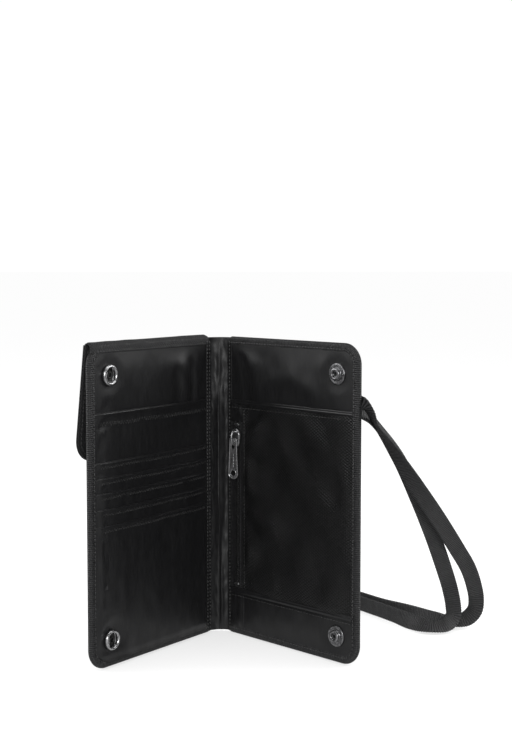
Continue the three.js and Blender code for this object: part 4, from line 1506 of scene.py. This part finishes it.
def hook_strip():
    """Hook tape with its field of small hooks."""
    strip = Outline(8, 112, -62, -42, 0, 0, 2)
    face = 1.15 - strip.rounded(0.4)
    bag = Bag().add(*strip.closed(flap_at, face, 0.5))
    for row, z in enumerate(np.arange(-60.8, -43, 1.5)):
        for u in np.arange(9.5 + 0.75 * (row % 2), 111, 1.5):
            base = flap_at(u + np.array([-0.22, 0.22, 0.22, -0.22]), 1.1,
                           z + np.array([-0.22, -0.22, 0.22, 0.22]))
            tip = flap_at(np.array([u]), 1.62, np.array([z + 0.25]))
            faces = [(0, 1, 2, 3), (0, 1, 4), (1, 2, 4), (2, 3, 4), (3, 0, 4)]
            bag.add(np.concatenate([base, tip]), faces)
    bag.piece("closure_hook_pile", "hook", "hook_and_loop", "flap", ["closure_hook_strip"])


def flap_fold():
    """Fabric that wraps over the top edge of the front cover and becomes the flap."""
    path = [(3.25, 194.6), (3.3, 196.2), (3.2, 198.2), (2.7, 199.8), (1.6, 200.8), (0.2, 201.35),
            (-1.2, 201.4), (-2.3, 201.0), (-2.9, 200.1), (-3.1, 199.0), (-3.3, 197.6)]
    control = np.array([(d, 0, z) for d, z in path], float)
    line = route_curve(control, 44)[:, [0, 2]]
    normal = line_normals(line)
    u = spread(1.5, WIDTH - 1.8, 2.2, (0, 0.15, 0.45, 1.0, 2.0))
    end_distance = np.minimum(u - u[0], u[-1] - u)
    shrink = 1.3 * np.clip(1 - end_distance / 2.0, 0, 1) ** 2
    s_grid, u_grid = np.meshgrid(way_along(line), u)
    lift = 0.12 * ripple(u_grid, s_grid, 22, 9, 281)
    places = []
    for thickness in (0.0, -0.6):
        offset = lift + thickness - shrink[:, None] * (thickness == 0)
        d = line[None, :, 0] + normal[None, :, 0] * offset
        z = line[None, :, 1] + normal[None, :, 1] * offset
        places.append(FRONT.at(u_grid, d, z).reshape(-1, 3))
    index = np.arange(s_grid.size).reshape(s_grid.shape)
    faces = shell_faces(index)
    cloth = np.stack([u_grid, s_grid, 0 * s_grid], -1).reshape(-1, 3) * MM
    bag = Bag().add(np.concatenate(places), faces, np.concatenate([cloth, cloth]))
    made = bag.piece("flap_fold_cloth", "fabric", "outer_fabric", None, ["flap_fold"])
    middle = WIDTH / 2
    start = FRONT.at(middle, 0.8, FLAP_PIVOT_Z).tolist()
    end = FRONT.at(middle, -2.6, FLAP_PIVOT_Z).tolist()
    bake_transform(made)
    thread = Bag()
    across = np.linspace(5, WIDTH - 6, 40)
    FRONT.sew(thread, across, 3.4, 195.6, 2.6, 2, 0.19, 291)
    thread.piece("flap_fold_thread", "thread", "outer_fabric", "front_cover")


def strap_anchors():
    """Patches of webbing that hold the strap's ends on the outside of the back cover."""
    for name, start in (("edge", 100), ("spine", 6)):
        grid = Outline(start, start + 14, STRAP_Z - 8, STRAP_Z + 8, 0, 0, 0.7)
        outside = -(0.62 + 0.04 * np.sin(2 * math.pi * grid.u / 1.4) - grid.rounded(0.3))
        bag = Bag().add(*grid.closed(BACK.at, -0.1, outside))
        node = f"strap_anchor_{name}"
        bag.piece(node + "_patch", "webbing", "binding", "back_cover", [node])
        thread = Bag()
        low, high = STRAP_Z - 6.6, STRAP_Z + 6.6
        left, right = start + 1.4, start + 12.6
        box = [(left, low), (right, low), (right, high), (left, high), (left, low), (right, high)]
        cross = [(left, high), (right, low)]
        for corners in (box, cross):
            for (u_a, z_a), (u_b, z_b) in zip(corners[:-1], corners[1:]):
                u, z = np.linspace(u_a, u_b, 12), np.linspace(z_a, z_b, 12)
                BACK.sew(thread, u, -0.7, z, 1.9, 1.5, 0.22, 301)
        thread.piece(node + "_thread", "thread", "binding", "back_cover")


def hidden_boards():
    for name in ("front_cover_board", "back_cover_board"):
        node = frame["nodes"][name]
        node.data.materials.clear()
        node.data.materials.append(LOOKS["board"])


make_studio()
neck_strap()
for side in (FRONT, BACK):
    cover_lining(side)
    cover_shell(side)
    binding(side)
snap_caps(FRONT, "socket")
snap_caps(BACK, "stud")
front_pockets()
seam_threads()
spine_strip(True)
spine_strip(False)
zip_pocket()
pocket_bands()
zip_tapes()
zip_coil()
zip_stops()
zip_slider()
zip_pull()
sockets()
studs()
outer_pocket()
flap()
flap_fold()
strap_anchors()
hidden_boards()
